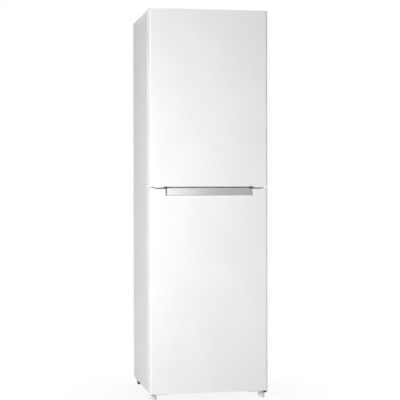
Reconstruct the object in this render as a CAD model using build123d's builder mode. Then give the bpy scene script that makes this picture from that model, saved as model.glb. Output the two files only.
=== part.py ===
from build123d import *
import os

os.makedirs("parts", exist_ok=True)

# A free-standing bottom freezer refrigerator: a foamed steel cabinet with a fridge compartment
# over a freezer compartment, two doors hung on the right, and a compressor bay at the rear.
# Millimetres; X to the right, Y towards the back, Z up; the origin is on the floor, midway.

# ---- overall size ----
overall_width = 545.0
foot_height = 35.0            # floor to the underside of the lower door and the cabinet
freezer_door_height = 924.5
door_gap = 5.0                # between the two doors
fridge_door_height = 805.5
door_thickness = 54.0
gasket_thickness = 12.0       # from the door's back to the cabinet's front
cabinet_depth = 484.0
condenser_projection = 24.0   # how far the condenser stands behind the cabinet

# ---- cabinet ----
sheet = 0.8                   # steel sheet of the sides, top and back
bend_radius = 3.0
return_width = 40.0           # folded front and rear edges of the side panels
base_sheet = 1.2
base_flange_height = 45.0
top_cover_height = 16.0
top_cover_wall = 2.5
liner_wall = 2.0
fridge_side_wall = 45.0
freezer_side_wall = 60.0
back_wall = 55.0
ceiling_wall = 45.0           # foam and liner over the fridge compartment
mullion_height = 64.0         # wall between the two compartments
freezer_floor_wall = 60.0
mullion_shift = 0.0           # middle of the mullion above the middle of the door gap
top_return_height = 40.0

# ---- compressor bay ----
bay_depth = 190.0
bay_height = 205.0
bay_chamfer = 40.0
bay_wall = 48.0               # foam and liner over the bay
bay_sheet = 1.0
tray_sheet = 2.0

# ---- doors ----
skin = 1.0
door_edge_radius = 9.0
liner_flange = 3.0
liner_edge_radius = 2.5
cap_lip = 1.5
hinge_side_inset = 20.0       # hinge axis from the right side of the door
hinge_front_inset = 32.0      # hinge axis from the front of the door
pin_radius = 4.0
pin_clearance = 0.05          # running fit of pins, stems and axles, on the radius
boss_radius = 9.0
bearing_gap = 0.3             # between a door's bearing boss and the hinge plate under it
dike_width = 16.0             # raised rim on the inside of the door
dike_depth = 32.0
dike_wall = 2.0
dike_clearance = 8.5          # rim to the compartment wall
gasket_width = 14.0
gasket_side_inset = 24.5
gasket_mid_inset = 12.5       # gasket from the door edge at the gap between the doors
gasket_base_inset = 14.0
gasket_top_inset = 24.0

# ---- hand grip between the doors ----
grip_side_inset = 71.5        # grip cut-out from the side of the door
grip_depth = 29.0             # how far the grip plate goes down the lower door
grip_roll = 7.0               # rolled edge of the door under the plate
grip_plate_wall = 1.5
grip_plate_rise = 3.5         # plate's top edge above the lower door
grip_rise_inset = 11.0        # raised top edge stops short of the plate's ends
grip_lean = 9.0               # plate's face behind the door's front
grip_end_slope = 0.85         # how far the plate's ends slope sideways, as a share of its depth
grip_end_wall = 1.0
pocket_front = 14.0
pocket_back = 36.0
pocket_depth = 24.0
pocket_overrun = 5.0          # finger pockets run on past the grip's ends
pocket_end_back = 48.0        # and are deeper there
tab_side_inset = 22.5         # upper door's lower edge comes down in two tabs
tab_width = 41.0
corner_rise = 5.0             # outer corners of the gap lie higher by this

# ---- feet, rollers and hinges ----
hinge_sheet = 3.0
base_bracket_sheet = 4.0
base_bracket_gap = 4.0        # lower door to the bracket under it
foot_radius = 15.5
foot_body_height = 22.0
foot_inset = 20.5             # foot axis from the side of the cabinet
foot_front_inset = 46.0
stem_radius = 4.0
roller_radius = 16.0
roller_width = 12.0
roller_inset = 19.5           # roller's middle from the side of the cabinet
roller_back_inset = 45.0
ear_sheet = 2.5
roller_side_gap = 1.5
axle_radius = 4.0
screw_radius = 2.5
screw_head_radius = 5.0
screw_head_height = 2.5
screw_length = 14.0

# ---- places worked out from the sizes ----
half_width = overall_width / 2
cabinet_bottom = foot_height
freezer_door_top = foot_height + freezer_door_height
fridge_door_bottom = freezer_door_top + door_gap
overall_height = fridge_door_bottom + fridge_door_height
overall_depth = door_thickness + gasket_thickness + cabinet_depth + condenser_projection
front_y = -overall_depth / 2
door_back_y = front_y + door_thickness
cabinet_front_y = door_back_y + gasket_thickness
cabinet_back_y = cabinet_front_y + cabinet_depth
rear_y = overall_depth / 2
side_inner_x = half_width - sheet
return_x = half_width - return_width
cabinet_top = overall_height - top_cover_height
foam_top = cabinet_top - sheet
foam_bottom = cabinet_bottom + base_sheet
foam_front_y = cabinet_front_y + liner_wall
foam_back_y = cabinet_back_y - sheet
fridge_half = half_width - fridge_side_wall
freezer_half = half_width - freezer_side_wall
inner_back_y = cabinet_back_y - back_wall
gap_middle = (freezer_door_top + fridge_door_bottom) / 2
fridge_floor = gap_middle + mullion_shift + mullion_height / 2
fridge_ceiling = cabinet_top - ceiling_wall
freezer_ceiling = gap_middle + mullion_shift - mullion_height / 2
freezer_floor = cabinet_bottom + freezer_floor_wall
bay_front_y = cabinet_back_y - bay_depth
bay_roof = cabinet_bottom + bay_height
step_front_y = bay_front_y - bay_wall
step_top = bay_roof + bay_wall
grip_width = overall_width - 2 * grip_side_inset
tab_outer = half_width - tab_side_inset
tab_inner = tab_outer - tab_width
hinge_x = half_width - hinge_side_inset
hinge_y = front_y + hinge_front_inset
bore_radius = pin_radius + pin_clearance


def block(x, y, z, mode=Mode.ADD):
    """Add or cut a rectangular block, given as its low and high place along X, Y and Z."""
    middle = ((x[0] + x[1]) / 2, (y[0] + y[1]) / 2, (z[0] + z[1]) / 2)
    with Locations(middle):
        Box(x[1] - x[0], y[1] - y[0], z[1] - z[0], mode=mode)


def rod_z(x, y, radius, z, mode=Mode.ADD):
    """Add or cut an upright round rod between two heights."""
    with Locations((x, y, (z[0] + z[1]) / 2)):
        Cylinder(radius, z[1] - z[0], mode=mode)


def rod_y(x, z, radius, y, mode=Mode.ADD):
    """Add or cut a round rod that runs front to back."""
    with Locations((x, (y[0] + y[1]) / 2, z)):
        Cylinder(radius, y[1] - y[0], rotation=(90, 0, 0), mode=mode)


def rod_x(y, z, radius, x, mode=Mode.ADD):
    """Add or cut a round rod that runs left to right."""
    with Locations(((x[0] + x[1]) / 2, y, z)):
        Cylinder(radius, x[1] - x[0], rotation=(0, 90, 0), mode=mode)


def both_sides(low, high):
    """The same span on the left and on the right of the middle plane."""
    return ((-high, -low), (low, high))


def tray(x, y, z, wall, floor):
    """Add a box with an open top."""
    block(x, y, z)
    block((x[0] + wall, x[1] - wall), (y[0] + wall, y[1] - wall), (z[0] + floor, z[1] + wall),
          Mode.SUBTRACT)


def keep(builder, label):
    """Label a finished piece and write it."""
    builder.part.label = label
    export_step(builder.part, f"parts/{label}.step")


# ======================= cabinet =======================

# Places of the hinge screws: middle hinge, right foot bracket, left foot bracket, top hinge.
screw_spacing = 30.0
screw_hinge_offset = 30.0     # nearer front screw from the hinge axis
base_screw_rise = 8.0
top_screw_setback = 30.0
top_screw_offset = 8.0
mid_screw_x = hinge_x - screw_hinge_offset
front_screw_z = cabinet_bottom + base_screw_rise
mid_screws = [(mid_screw_x, gap_middle), (mid_screw_x - screw_spacing, gap_middle)]
base_screws = []
for side in (-1, 1):
    base_screws.append((side * mid_screw_x, front_screw_z))
    base_screws.append((side * (mid_screw_x - screw_spacing), front_screw_z))
front_screws = mid_screws + base_screws
top_screw_y = cabinet_front_y + top_screw_setback
top_screw_x = hinge_x - top_screw_offset
top_screws = [(top_screw_x, top_screw_y), (top_screw_x - screw_spacing, top_screw_y)]


def cut_front_screw_holes(screws):
    """Cut the holes of screws that go in from the front."""
    hole_y = (cabinet_front_y - hinge_sheet, cabinet_front_y + screw_length)
    for x, z in screws:
        rod_y(x, z, screw_radius, hole_y, Mode.SUBTRACT)


def cut_top_screw_holes():
    """Cut the holes of the top hinge's screws."""
    for x, y in top_screws:
        rod_z(x, y, screw_radius, (cabinet_top - screw_length, cabinet_top + hinge_sheet), Mode.SUBTRACT)


def side_panel(side):
    """Steel side panel with its front and rear edges folded in; side is -1 left, +1 right."""
    with BuildPart() as panel:
        with BuildSketch(Plane.XY.offset(cabinet_bottom)) as section:
            with Locations((side * (half_width - return_width), (cabinet_front_y + cabinet_back_y) / 2)):
                Rectangle(2 * return_width, cabinet_depth)
            fillet(section.vertices(), bend_radius)
            offset(amount=-sheet, mode=Mode.SUBTRACT)
            with Locations((side * (return_x - return_width), (cabinet_front_y + cabinet_back_y) / 2)):
                Rectangle(2 * return_width, cabinet_depth, mode=Mode.SUBTRACT)
        extrude(amount=cabinet_top - cabinet_bottom)
    return panel


cabinet_side_left = side_panel(-1)
keep(cabinet_side_left, "cabinet_side_left")
cabinet_side_right = side_panel(1)
keep(cabinet_side_right, "cabinet_side_right")

def trim_to_panels():
    """Round the upright corners of what fills the cabinet, inside the bends of the side panels."""
    for side in (-1, 1):
        for y, towards in ((cabinet_front_y, 1), (cabinet_back_y, -1)):
            x_span = sorted((side * half_width, side * (half_width - bend_radius)))
            y_span = sorted((y, y + towards * bend_radius))
            block(x_span, y_span, (0, overall_height), Mode.SUBTRACT)


with BuildPart() as top_panel:
    block((-side_inner_x, side_inner_x), (cabinet_front_y + bend_radius, foam_back_y - bend_radius),
          (foam_top, cabinet_top))
    block((-return_x, return_x), (cabinet_front_y, cabinet_front_y + bend_radius), (foam_top, cabinet_top))
    block((-return_x, return_x), (cabinet_front_y, cabinet_front_y + sheet),
          (cabinet_top - top_return_height, cabinet_top))
    block((-return_x, return_x), (foam_back_y - bend_radius, foam_back_y), (foam_top, cabinet_top))
    cut_top_screw_holes()
keep(top_panel, "top_panel")

with BuildPart() as back_panel:
    block((-return_x, return_x), (foam_back_y, cabinet_back_y), (bay_roof, cabinet_top))
keep(back_panel, "back_panel")

with BuildPart() as base_plate:
    block((-return_x, return_x), (cabinet_front_y, bay_front_y), (cabinet_bottom, foam_bottom))
    block((-side_inner_x, side_inner_x), (cabinet_front_y + bend_radius, bay_front_y),
          (cabinet_bottom, foam_bottom))
    block((-return_x, return_x), (cabinet_front_y, cabinet_front_y + base_sheet),
          (cabinet_bottom, cabinet_bottom + base_flange_height))
    cut_front_screw_holes(base_screws)
keep(base_plate, "base_plate")


bay_overrun = 20.0


def bay_section():
    """Outline of the compressor bay, seen from the side, run on past its open bottom and back."""
    Polygon(
        (bay_front_y, cabinet_bottom - bay_overrun),
        (bay_front_y, bay_roof - bay_chamfer),
        (bay_front_y + bay_chamfer, bay_roof),
        (cabinet_back_y + bay_overrun, bay_roof),
        (cabinet_back_y + bay_overrun, cabinet_bottom - bay_overrun),
        align=None,
    )


side_plane = Plane(origin=(0, 0, 0), x_dir=(0, 1, 0), z_dir=(1, 0, 0))

# The drain leaves the fridge compartment low in its back wall and runs down through the foam.
drain_x = -60.0
drain_radius = 8.0
drain_bore = 6.0
drain_y = (inner_back_y + liner_wall + foam_back_y) / 2
drain_rise = 14.0
drain_bend = 14.0
drain_drop = 4.0              # drain's lower end under the roof of the compressor bay
drain_z = fridge_floor + drain_rise
drain_end = bay_roof - bay_sheet - drain_drop


def pipe(points, radii, radius, mode=Mode.ADD):
    """Add or cut a bent pipe of round section along straight runs joined by arcs."""
    with BuildLine() as route:
        FilletPolyline(*points, radius=radii)
    with BuildSketch(Plane(origin=route.line @ 0, z_dir=route.line % 0)) as section:
        Circle(radius)
    sweep(section.sketch, path=route.wires()[0], mode=mode)


def drain_pipe(start_y, end_z, radius, mode=Mode.ADD):
    """Add or cut the drain's bend, from the back of the fridge compartment down to a height."""
    pipe([(drain_x, start_y, drain_z), (drain_x, drain_y, drain_z), (drain_x, drain_y, end_z)],
         [drain_bend], radius, mode)


with BuildPart() as compressor_bulkhead:
    with BuildSketch(side_plane.offset(-side_inner_x)) as section:
        bay_section()
        offset(amount=-bay_sheet, kind=Kind.INTERSECTION, mode=Mode.SUBTRACT)
    extrude(amount=2 * side_inner_x)
    block((-half_width, half_width), (foam_back_y - bend_radius, rear_y), (0, overall_height), Mode.SUBTRACT)
    block((-half_width, half_width), (front_y, rear_y), (0, foam_bottom), Mode.SUBTRACT)
    rod_z(drain_x, drain_y, drain_radius, (bay_roof - bay_sheet, bay_roof), Mode.SUBTRACT)
keep(compressor_bulkhead, "compressor_bulkhead")


def freezer_section():
    """Outline of the freezer compartment's inside, seen from the side, run on past its front."""
    Polygon(
        (front_y, freezer_floor),
        (step_front_y, freezer_floor),
        (step_front_y, step_top - bay_chamfer),
        (step_front_y + bay_chamfer, step_top),
        (inner_back_y, step_top),
        (inner_back_y, freezer_ceiling),
        (front_y, freezer_ceiling),
        align=None,
    )


def freezer_space(extra, mode):
    """Add or cut the freezer compartment, grown by a wall all round."""
    with BuildSketch(side_plane.offset(-freezer_half - extra)) as section:
        freezer_section()
        if extra:
            offset(amount=extra, kind=Kind.INTERSECTION)
    extrude(section.sketch, amount=2 * (freezer_half + extra), mode=mode)


def fridge_space(extra, mode):
    """Add or cut the fridge compartment, grown by a wall all round."""
    block((-fridge_half - extra, fridge_half + extra), (front_y, inner_back_y + extra),
          (fridge_floor - extra, fridge_ceiling + extra), mode)


# Shelf supports are ridges on the liner's side walls.
ridge_reach = 6.0
ridge_height = 6.0
shelf_setback = 190.0         # shelves from the front of the upper door
shelf_back_gap = 8.0
shelf_front_y = front_y + shelf_setback
shelf_back_y = inner_back_y - shelf_back_gap
glass_thickness = 4.0
crisper_height = 152.0
shelf_pitch = 132.0
crisper_cover_z = fridge_floor + crisper_height
shelf_heights = [crisper_cover_z + shelf_pitch * step for step in (1, 2, 3)]
drawer_pitch = 208.0
first_plate_rise = 12.0
top_coil_drop = 14.0
plate_setback = 106.0
first_plate_z = step_top + first_plate_rise
plate_heights = [first_plate_z + drawer_pitch * step for step in (0, 1, 2)]
top_coil_z = freezer_ceiling - top_coil_drop
plate_front_y = front_y + plate_setback
plate_sheet = 2.0
plate_side_gap = 2.0
plate_riser_inset = 12.0
plate_half = freezer_half - plate_side_gap
plate_riser_x = plate_half - plate_riser_inset

# The fridge evaporator is a flat plate foamed in behind the liner.
evaporator_inset = 47.5       # from the side walls of the compartment
evaporator_rise = 160.0
evaporator_drop = 120.0
evaporator_plate = 2.0
evaporator_half = fridge_half - evaporator_inset
evaporator_low = fridge_floor + evaporator_rise
evaporator_high = fridge_ceiling - evaporator_drop
evaporator_y = (inner_back_y + liner_wall, inner_back_y + liner_wall + evaporator_plate)

with BuildPart() as fridge_liner:
    fridge_space(liner_wall, Mode.ADD)
    block((-half_width, half_width), (front_y, cabinet_front_y), (0, overall_height), Mode.SUBTRACT)
    block((-return_x, return_x), (cabinet_front_y, foam_front_y),
          (fridge_floor - liner_wall, cabinet_top - top_return_height))
    fridge_space(0, Mode.SUBTRACT)
    for height in [crisper_cover_z] + shelf_heights:
        ridge_top = height - glass_thickness
        for x in both_sides(fridge_half - ridge_reach, fridge_half):
            block(x, (shelf_front_y, shelf_back_y), (ridge_top - ridge_height, ridge_top))
    rod_y(drain_x, drain_z, drain_bore, (inner_back_y, inner_back_y + liner_wall), Mode.SUBTRACT)
keep(fridge_liner, "fridge_liner")

with BuildPart() as freezer_liner:
    freezer_space(liner_wall, Mode.ADD)
    block((-half_width, half_width), (front_y - liner_wall, cabinet_front_y), (0, overall_height),
          Mode.SUBTRACT)
    block((-return_x, return_x), (cabinet_front_y, foam_front_y),
          (cabinet_bottom + base_flange_height, freezer_ceiling + liner_wall))
    freezer_space(0, Mode.SUBTRACT)
    for height in plate_heights:
        for x in both_sides(freezer_half - ridge_reach, freezer_half):
            block(x, (plate_front_y, shelf_back_y), (height - ridge_height, height))
keep(freezer_liner, "freezer_liner")

with BuildPart() as centre_rail:
    block((-return_x, return_x), (cabinet_front_y, cabinet_front_y + base_sheet),
          (freezer_ceiling + liner_wall, fridge_floor - liner_wall))
    cut_front_screw_holes(mid_screws)
keep(centre_rail, "centre_rail")

with BuildPart() as cabinet_foam:
    block((-side_inner_x, side_inner_x), (foam_front_y, foam_back_y), (foam_bottom, foam_top))
    trim_to_panels()
    fridge_space(liner_wall, Mode.SUBTRACT)
    freezer_space(liner_wall, Mode.SUBTRACT)
    with BuildSketch(side_plane.offset(-half_width)):
        bay_section()
    extrude(amount=overall_width, mode=Mode.SUBTRACT)
    cut_front_screw_holes(front_screws)
    cut_top_screw_holes()
    drain_pipe(inner_back_y, bay_roof - bay_sheet, drain_radius, Mode.SUBTRACT)
    block((-evaporator_half, evaporator_half), evaporator_y, (evaporator_low, evaporator_high), Mode.SUBTRACT)
keep(cabinet_foam, "cabinet_foam")

# The cover is an upturned tray over the top hinge, with a slot for the hinge arm in its front.
arm_half = 9.0
arm_slot_gap = 1.5
cover_edge_radius = 2.0
with BuildPart() as top_cover:
    block((-half_width, half_width), (cabinet_front_y, cabinet_back_y), (cabinet_top, overall_height))
    fillet(top_cover.edges().filter_by(Axis.Z), bend_radius)
    fillet(top_cover.faces().sort_by(Axis.Z)[-1].edges(), cover_edge_radius)
    block((-half_width + top_cover_wall, half_width - top_cover_wall),
          (cabinet_front_y + top_cover_wall, cabinet_back_y - top_cover_wall),
          (cabinet_top, overall_height - top_cover_wall), Mode.SUBTRACT)
    block((hinge_x - arm_half - arm_slot_gap, hinge_x + arm_half + arm_slot_gap),
          (cabinet_front_y, cabinet_front_y + top_cover_wall),
          (cabinet_top, cabinet_top + hinge_sheet + arm_slot_gap), Mode.SUBTRACT)
keep(top_cover, "top_cover")

# ======================= hinges, brackets and screws =======================

pin_length = 16.0
mid_plate_z = (gap_middle - hinge_sheet / 2, gap_middle + hinge_sheet / 2)
base_plate_z = (foot_height - base_bracket_gap - base_bracket_sheet, foot_height - base_bracket_gap)
top_plate_z = (cabinet_top, cabinet_top + hinge_sheet)
top_pocket_gap = 2.0          # hinge arm to the floor of the pocket it turns in
bracket_margin = 8.0
bracket_corner_radius = 6.0
bracket_lip_margin = 7.0
top_leaf_setback = 12.5       # wide leaf of the top hinge from the front of the cabinet
top_leaf_width = 59.0
top_leaf_margin = 14.0
arm_overlap = 2.0
top_pocket_floor = cabinet_top - top_pocket_gap
bracket_inner_x = mid_screw_x - screw_spacing - bracket_margin
top_leaf_y = (cabinet_front_y + top_leaf_setback, top_screw_y + top_leaf_margin)
bracket_outer_x = hinge_x + arm_half
mid_bracket_half_height = 12.0
foot_x = half_width - foot_inset
foot_y = front_y + foot_front_inset
stem_bore = stem_radius + pin_clearance

with BuildPart() as top_hinge:
    block((hinge_x - arm_half, hinge_x + arm_half), (hinge_y, top_leaf_y[0] + arm_overlap), top_plate_z)
    rod_z(hinge_x, hinge_y, arm_half, top_plate_z)
    block((hinge_x + arm_half - top_leaf_width, hinge_x + arm_half), top_leaf_y, top_plate_z)
    rod_z(hinge_x, hinge_y, pin_radius, (cabinet_top - pin_length, cabinet_top))
    cut_top_screw_holes()
keep(top_hinge, "top_hinge")

with BuildPart() as middle_hinge:
    block((hinge_x - arm_half, hinge_x + arm_half), (hinge_y, cabinet_front_y), mid_plate_z)
    rod_z(hinge_x, hinge_y, arm_half, mid_plate_z)
    block((bracket_inner_x, bracket_outer_x), (cabinet_front_y - hinge_sheet, cabinet_front_y),
          (gap_middle - mid_bracket_half_height, gap_middle + mid_bracket_half_height))
    rod_z(hinge_x, hinge_y, pin_radius,
          (freezer_door_top - pin_length, fridge_door_bottom + corner_rise + pin_length))
    cut_front_screw_holes(mid_screws)
keep(middle_hinge, "middle_hinge")


def foot_bracket(side, pin):
    """Bracket under the lower door that carries a foot, and on the hinge side the door's pin."""
    x_span = sorted((side * bracket_inner_x, side * bracket_outer_x))
    with BuildPart() as bracket:
        with BuildSketch(Plane.XY.offset(base_plate_z[0])) as plate:
            with Locations(((x_span[0] + x_span[1]) / 2, (foot_y - foot_radius + cabinet_front_y) / 2)):
                Rectangle(x_span[1] - x_span[0], cabinet_front_y - foot_y + foot_radius)
            fillet(plate.vertices().group_by(Axis.Y)[0], bracket_corner_radius)
        extrude(amount=base_bracket_sheet)
        block(x_span, (cabinet_front_y - hinge_sheet, cabinet_front_y),
              (base_plate_z[0], front_screw_z + bracket_lip_margin))
        rod_z(side * foot_x, foot_y, stem_bore, base_plate_z, Mode.SUBTRACT)
        for x, z in base_screws:
            rod_y(x, z, screw_radius, (cabinet_front_y - hinge_sheet, cabinet_front_y), Mode.SUBTRACT)
        if pin:
            rod_z(hinge_x, hinge_y, arm_half, base_plate_z)
            rod_z(hinge_x, hinge_y, pin_radius, (base_plate_z[1], foot_height + pin_length))
            rod_z(side * foot_x, foot_y, stem_bore, base_plate_z, Mode.SUBTRACT)
    return bracket


bottom_hinge = foot_bracket(1, True)
keep(bottom_hinge, "bottom_hinge")
left_foot_bracket = foot_bracket(-1, False)
keep(left_foot_bracket, "left_foot_bracket")

with BuildPart() as hinge_screws:
    for x, z in front_screws:
        head_y = cabinet_front_y - hinge_sheet
        rod_y(x, z, screw_head_radius, (head_y - screw_head_height, head_y))
        rod_y(x, z, screw_radius, (head_y, cabinet_front_y + screw_length))
    for x, y in top_screws:
        rod_z(x, y, screw_head_radius, (top_plate_z[1], top_plate_z[1] + screw_head_height))
        rod_z(x, y, screw_radius, (cabinet_top - screw_length, top_plate_z[1]))
keep(hinge_screws, "hinge_screws")

# ======================= feet and rollers =======================


foot_taper = 1.5
foot_chamfer = 1.0


def levelling_foot(side):
    """Levelling foot: a moulded foot, slightly wider at its base, on a threaded stem."""
    with BuildPart() as foot:
        with Locations((side * foot_x, foot_y, foot_body_height / 2)):
            Cone(foot_radius, foot_radius - foot_taper, foot_body_height)
        chamfer(foot.edges().filter_by(GeomType.CIRCLE).sort_by(Axis.Z)[0], foot_chamfer)
        rod_z(side * foot_x, foot_y, stem_radius, (foot_body_height, base_plate_z[1]))
    return foot


foot_left = levelling_foot(-1)
keep(foot_left, "foot_left")
foot_right = levelling_foot(1)
keep(foot_right, "foot_right")

roller_x = half_width - roller_inset
roller_y = cabinet_back_y - roller_back_inset
axle_z = roller_radius
ear_inner = roller_x - roller_width / 2 - roller_side_gap - ear_sheet
ear_outer = roller_x + roller_width / 2 + roller_side_gap + ear_sheet
ear_half_length = 12.0
axle_overhang = 1.5
roller_chamfer = 1.2
roller_recess = 2.0
roller_rim = 4.0
roller_hub_wall = 3.0

with BuildPart() as compressor_tray:
    block((-side_inner_x, side_inner_x), (bay_front_y + bay_sheet, foam_back_y - bend_radius),
          (cabinet_bottom, cabinet_bottom + tray_sheet))
    for low in (ear_inner, ear_outer - ear_sheet):
        for x in both_sides(low, low + ear_sheet):
            block(x, (roller_y - ear_half_length, roller_y + ear_half_length), (axle_z, cabinet_bottom))
            rod_x(roller_y, axle_z, ear_half_length, x)
            rod_x(roller_y, axle_z, axle_radius, x, Mode.SUBTRACT)
keep(compressor_tray, "compressor_tray")

with BuildPart() as roller_axles:
    for x in both_sides(ear_inner - axle_overhang, ear_outer + axle_overhang):
        rod_x(roller_y, axle_z, axle_radius, x)
keep(roller_axles, "roller_axles")


def rear_roller(side):
    """Rear roller with recessed sides and a plain bore."""
    x = (side * roller_x - roller_width / 2, side * roller_x + roller_width / 2)
    with BuildPart() as roller:
        rod_x(roller_y, axle_z, roller_radius, x)
        chamfer(roller.edges().filter_by(GeomType.CIRCLE), roller_chamfer)
        for hub_x in ((x[0], x[0] + roller_recess), (x[1] - roller_recess, x[1])):
            rod_x(roller_y, axle_z, roller_radius - roller_rim, hub_x, Mode.SUBTRACT)
            rod_x(roller_y, axle_z, axle_radius + roller_hub_wall, hub_x)
        rod_x(roller_y, axle_z, axle_radius + pin_clearance, x, Mode.SUBTRACT)
    return roller


roller_left = rear_roller(-1)
keep(roller_left, "roller_left")
roller_right = rear_roller(1)
keep(roller_right, "roller_right")

# ======================= cooling circuit =======================

compressor_x = 70.0
compressor_y = (bay_front_y + cabinet_back_y) / 2
compressor_long = 92.0
compressor_short = 72.0
compressor_height = 150.0
mount_rise = 9.0
mount_sheet = 3.0
mount_length = 190.0
mount_width = 124.0
mount_corner_radius = 14.0
mount_hole_x = 160.0          # between the mounting holes
mount_hole_y = 96.0
mount_hole_radius = 4.0
grommet_radius = 9.0
weld_rise = 85.0
weld_lip = 2.0
weld_band = 5.0
dome_radius = 38.0
base_radius = 16.0
tray_top = cabinet_bottom + tray_sheet
mount_plate_z = (tray_top + mount_rise, tray_top + mount_rise + mount_sheet)
compressor_top = tray_top + compressor_height
weld_z = tray_top + weld_rise

with BuildPart() as compressor:
    with BuildSketch(Plane.XY.offset(mount_plate_z[1])):
        with Locations((compressor_x, compressor_y)):
            Ellipse(compressor_long, compressor_short)
    extrude(amount=compressor_top - mount_plate_z[1])
    fillet(compressor.edges().sort_by(Axis.Z)[-1], dome_radius)
    fillet(compressor.edges().sort_by(Axis.Z)[0], base_radius)
    with BuildSketch(Plane.XY.offset(weld_z)):
        with Locations((compressor_x, compressor_y)):
            Ellipse(compressor_long + weld_lip, compressor_short + weld_lip)
    extrude(amount=weld_band)
    with BuildSketch(Plane.XY.offset(mount_plate_z[0])) as mount_plate:
        with Locations((compressor_x, compressor_y)):
            RectangleRounded(mount_length, mount_width, mount_corner_radius)
            with GridLocations(mount_hole_x, mount_hole_y, 2, 2):
                Circle(mount_hole_radius, mode=Mode.SUBTRACT)
    extrude(amount=mount_sheet)
    for x in (compressor_x - mount_hole_x / 2, compressor_x + mount_hole_x / 2):
        for y in (compressor_y - mount_hole_y / 2, compressor_y + mount_hole_y / 2):
            rod_z(x, y, grommet_radius, (tray_top, mount_plate_z[0]))
keep(compressor, "compressor")

terminal_length = 34.0
terminal_half_width = 28.0
terminal_height = 58.0
terminal_drop = 30.0
terminal_z = (weld_z - terminal_drop, weld_z - terminal_drop + terminal_height)
terminal_edge_radius = 6.0
terminal_chamfer = 2.0
terminal_x = compressor_x + compressor_long + weld_lip
with BuildPart() as terminal_box:
    block((terminal_x, terminal_x + terminal_length),
          (compressor_y - terminal_half_width, compressor_y + terminal_half_width), terminal_z)
    fillet(terminal_box.edges().filter_by(Axis.X), terminal_edge_radius)
    chamfer(terminal_box.faces().sort_by(Axis.X)[-1].edges(), terminal_chamfer)
keep(terminal_box, "terminal_box")

drip_wall = 2.0
drip_height = 26.0
drip_side_margin = 16.0
drip_front_margin = 52.0
drip_back_margin = 14.0
drip_x = (drain_x - drip_side_margin, compressor_x + compressor_long - 2 * drip_side_margin)
drip_y = (compressor_y - drip_front_margin, drain_y + drip_back_margin)
with BuildPart() as condensate_drain:
    tray(drip_x, drip_y, (compressor_top, compressor_top + drip_height), drip_wall, drip_wall)
    drain_pipe(inner_back_y + liner_wall, drain_end, drain_radius)
    drain_pipe(inner_back_y + liner_wall, drain_end, drain_bore, Mode.SUBTRACT)
keep(condensate_drain, "condensate_drain")

# The condenser is a flat serpentine between two rows of upright wires, hung behind the back panel.
tube_radius = 2.4
wire = 1.6
condenser_side_inset = 67.5
condenser_rise = 45.0         # lowest run above the compressor bay
condenser_drop = 251.0        # highest run below the top of the cabinet
run_pairs = 11
wire_count = 33
wire_overrun = 8.0
wire_bracket_width = 12.0
wire_bracket_height = 16.0
riser_gap = 8.0
feed_gap = 17.0
condenser_half = half_width - condenser_side_inset
condenser_y = rear_y - wire - tube_radius
condenser_low = bay_roof + condenser_rise
condenser_high = cabinet_top - condenser_drop
run_count = 2 * run_pairs
run_pitch = (condenser_high - condenser_low) / (run_count - 1)
wire_half = condenser_half - condenser_side_inset / 5
wire_pitch = 2 * wire_half / (wire_count - 1)
riser_x_left = -condenser_half - run_pitch / 2 - riser_gap
feed_x = -condenser_half - feed_gap


def serpentine(half, low, pitch, runs):
    """Centre line of a serpentine: level runs joined by half circles, from the lower left."""
    for number in range(runs):
        height = low + pitch * number
        towards = 1 if number % 2 == 0 else -1
        Line((-half * towards, height), (half * towards, height))
        if number < runs - 1:
            ThreePointArc(
                (half * towards, height),
                (half * towards + towards * pitch / 2, height + pitch / 2),
                (half * towards, height + pitch),
            )


rear_plane = Plane(origin=(0, condenser_y, 0), x_dir=(1, 0, 0), z_dir=(0, -1, 0))
with BuildPart() as condenser:
    with BuildLine(rear_plane) as coil_path:
        serpentine(condenser_half, condenser_low, run_pitch, run_count)
    with BuildSketch(Plane(origin=coil_path.line @ 0, z_dir=coil_path.line % 0)):
        Circle(tube_radius)
    sweep(path=coil_path.wires()[0])
    for wire_y in (condenser_y - tube_radius - wire, condenser_y + tube_radius):
        with BuildSketch(Plane(origin=(0, wire_y, 0), x_dir=(1, 0, 0), z_dir=(0, 1, 0))):
            for edge_z in (condenser_low - wire_overrun, condenser_high + wire_overrun):
                with Locations((0, -edge_z)):
                    Rectangle(2 * wire_half + wire, wire)
            with Locations((0, -(condenser_low + condenser_high) / 2)):
                with GridLocations(wire_pitch, 1, wire_count, 1):
                    Rectangle(wire, condenser_high - condenser_low + 2 * wire_overrun)
        extrude(amount=wire)
    for middle in (condenser_low + run_pitch / 2, condenser_high - run_pitch / 2):
        for x in both_sides(wire_half - wire_bracket_width, wire_half):
            block(x, (cabinet_back_y, condenser_y - tube_radius - wire),
                  (middle - wire_bracket_height / 2, middle + wire_bracket_height / 2))
keep(condenser, "condenser")

drier_radius = 8.0
drier_length = 90.0
drier_edge_radius = 5.0
drier_setback = 6.0           # in front of the condenser
drier_drop = 15.0
drier_y = condenser_y - drier_setback
drier_z = (bay_roof - drier_drop - drier_length, bay_roof - drier_drop)
with BuildPart() as filter_drier:
    rod_z(riser_x_left, drier_y, drier_radius, drier_z)
    fillet(filter_drier.edges().filter_by(GeomType.CIRCLE), drier_edge_radius)
keep(filter_drier, "filter_drier")


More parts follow.
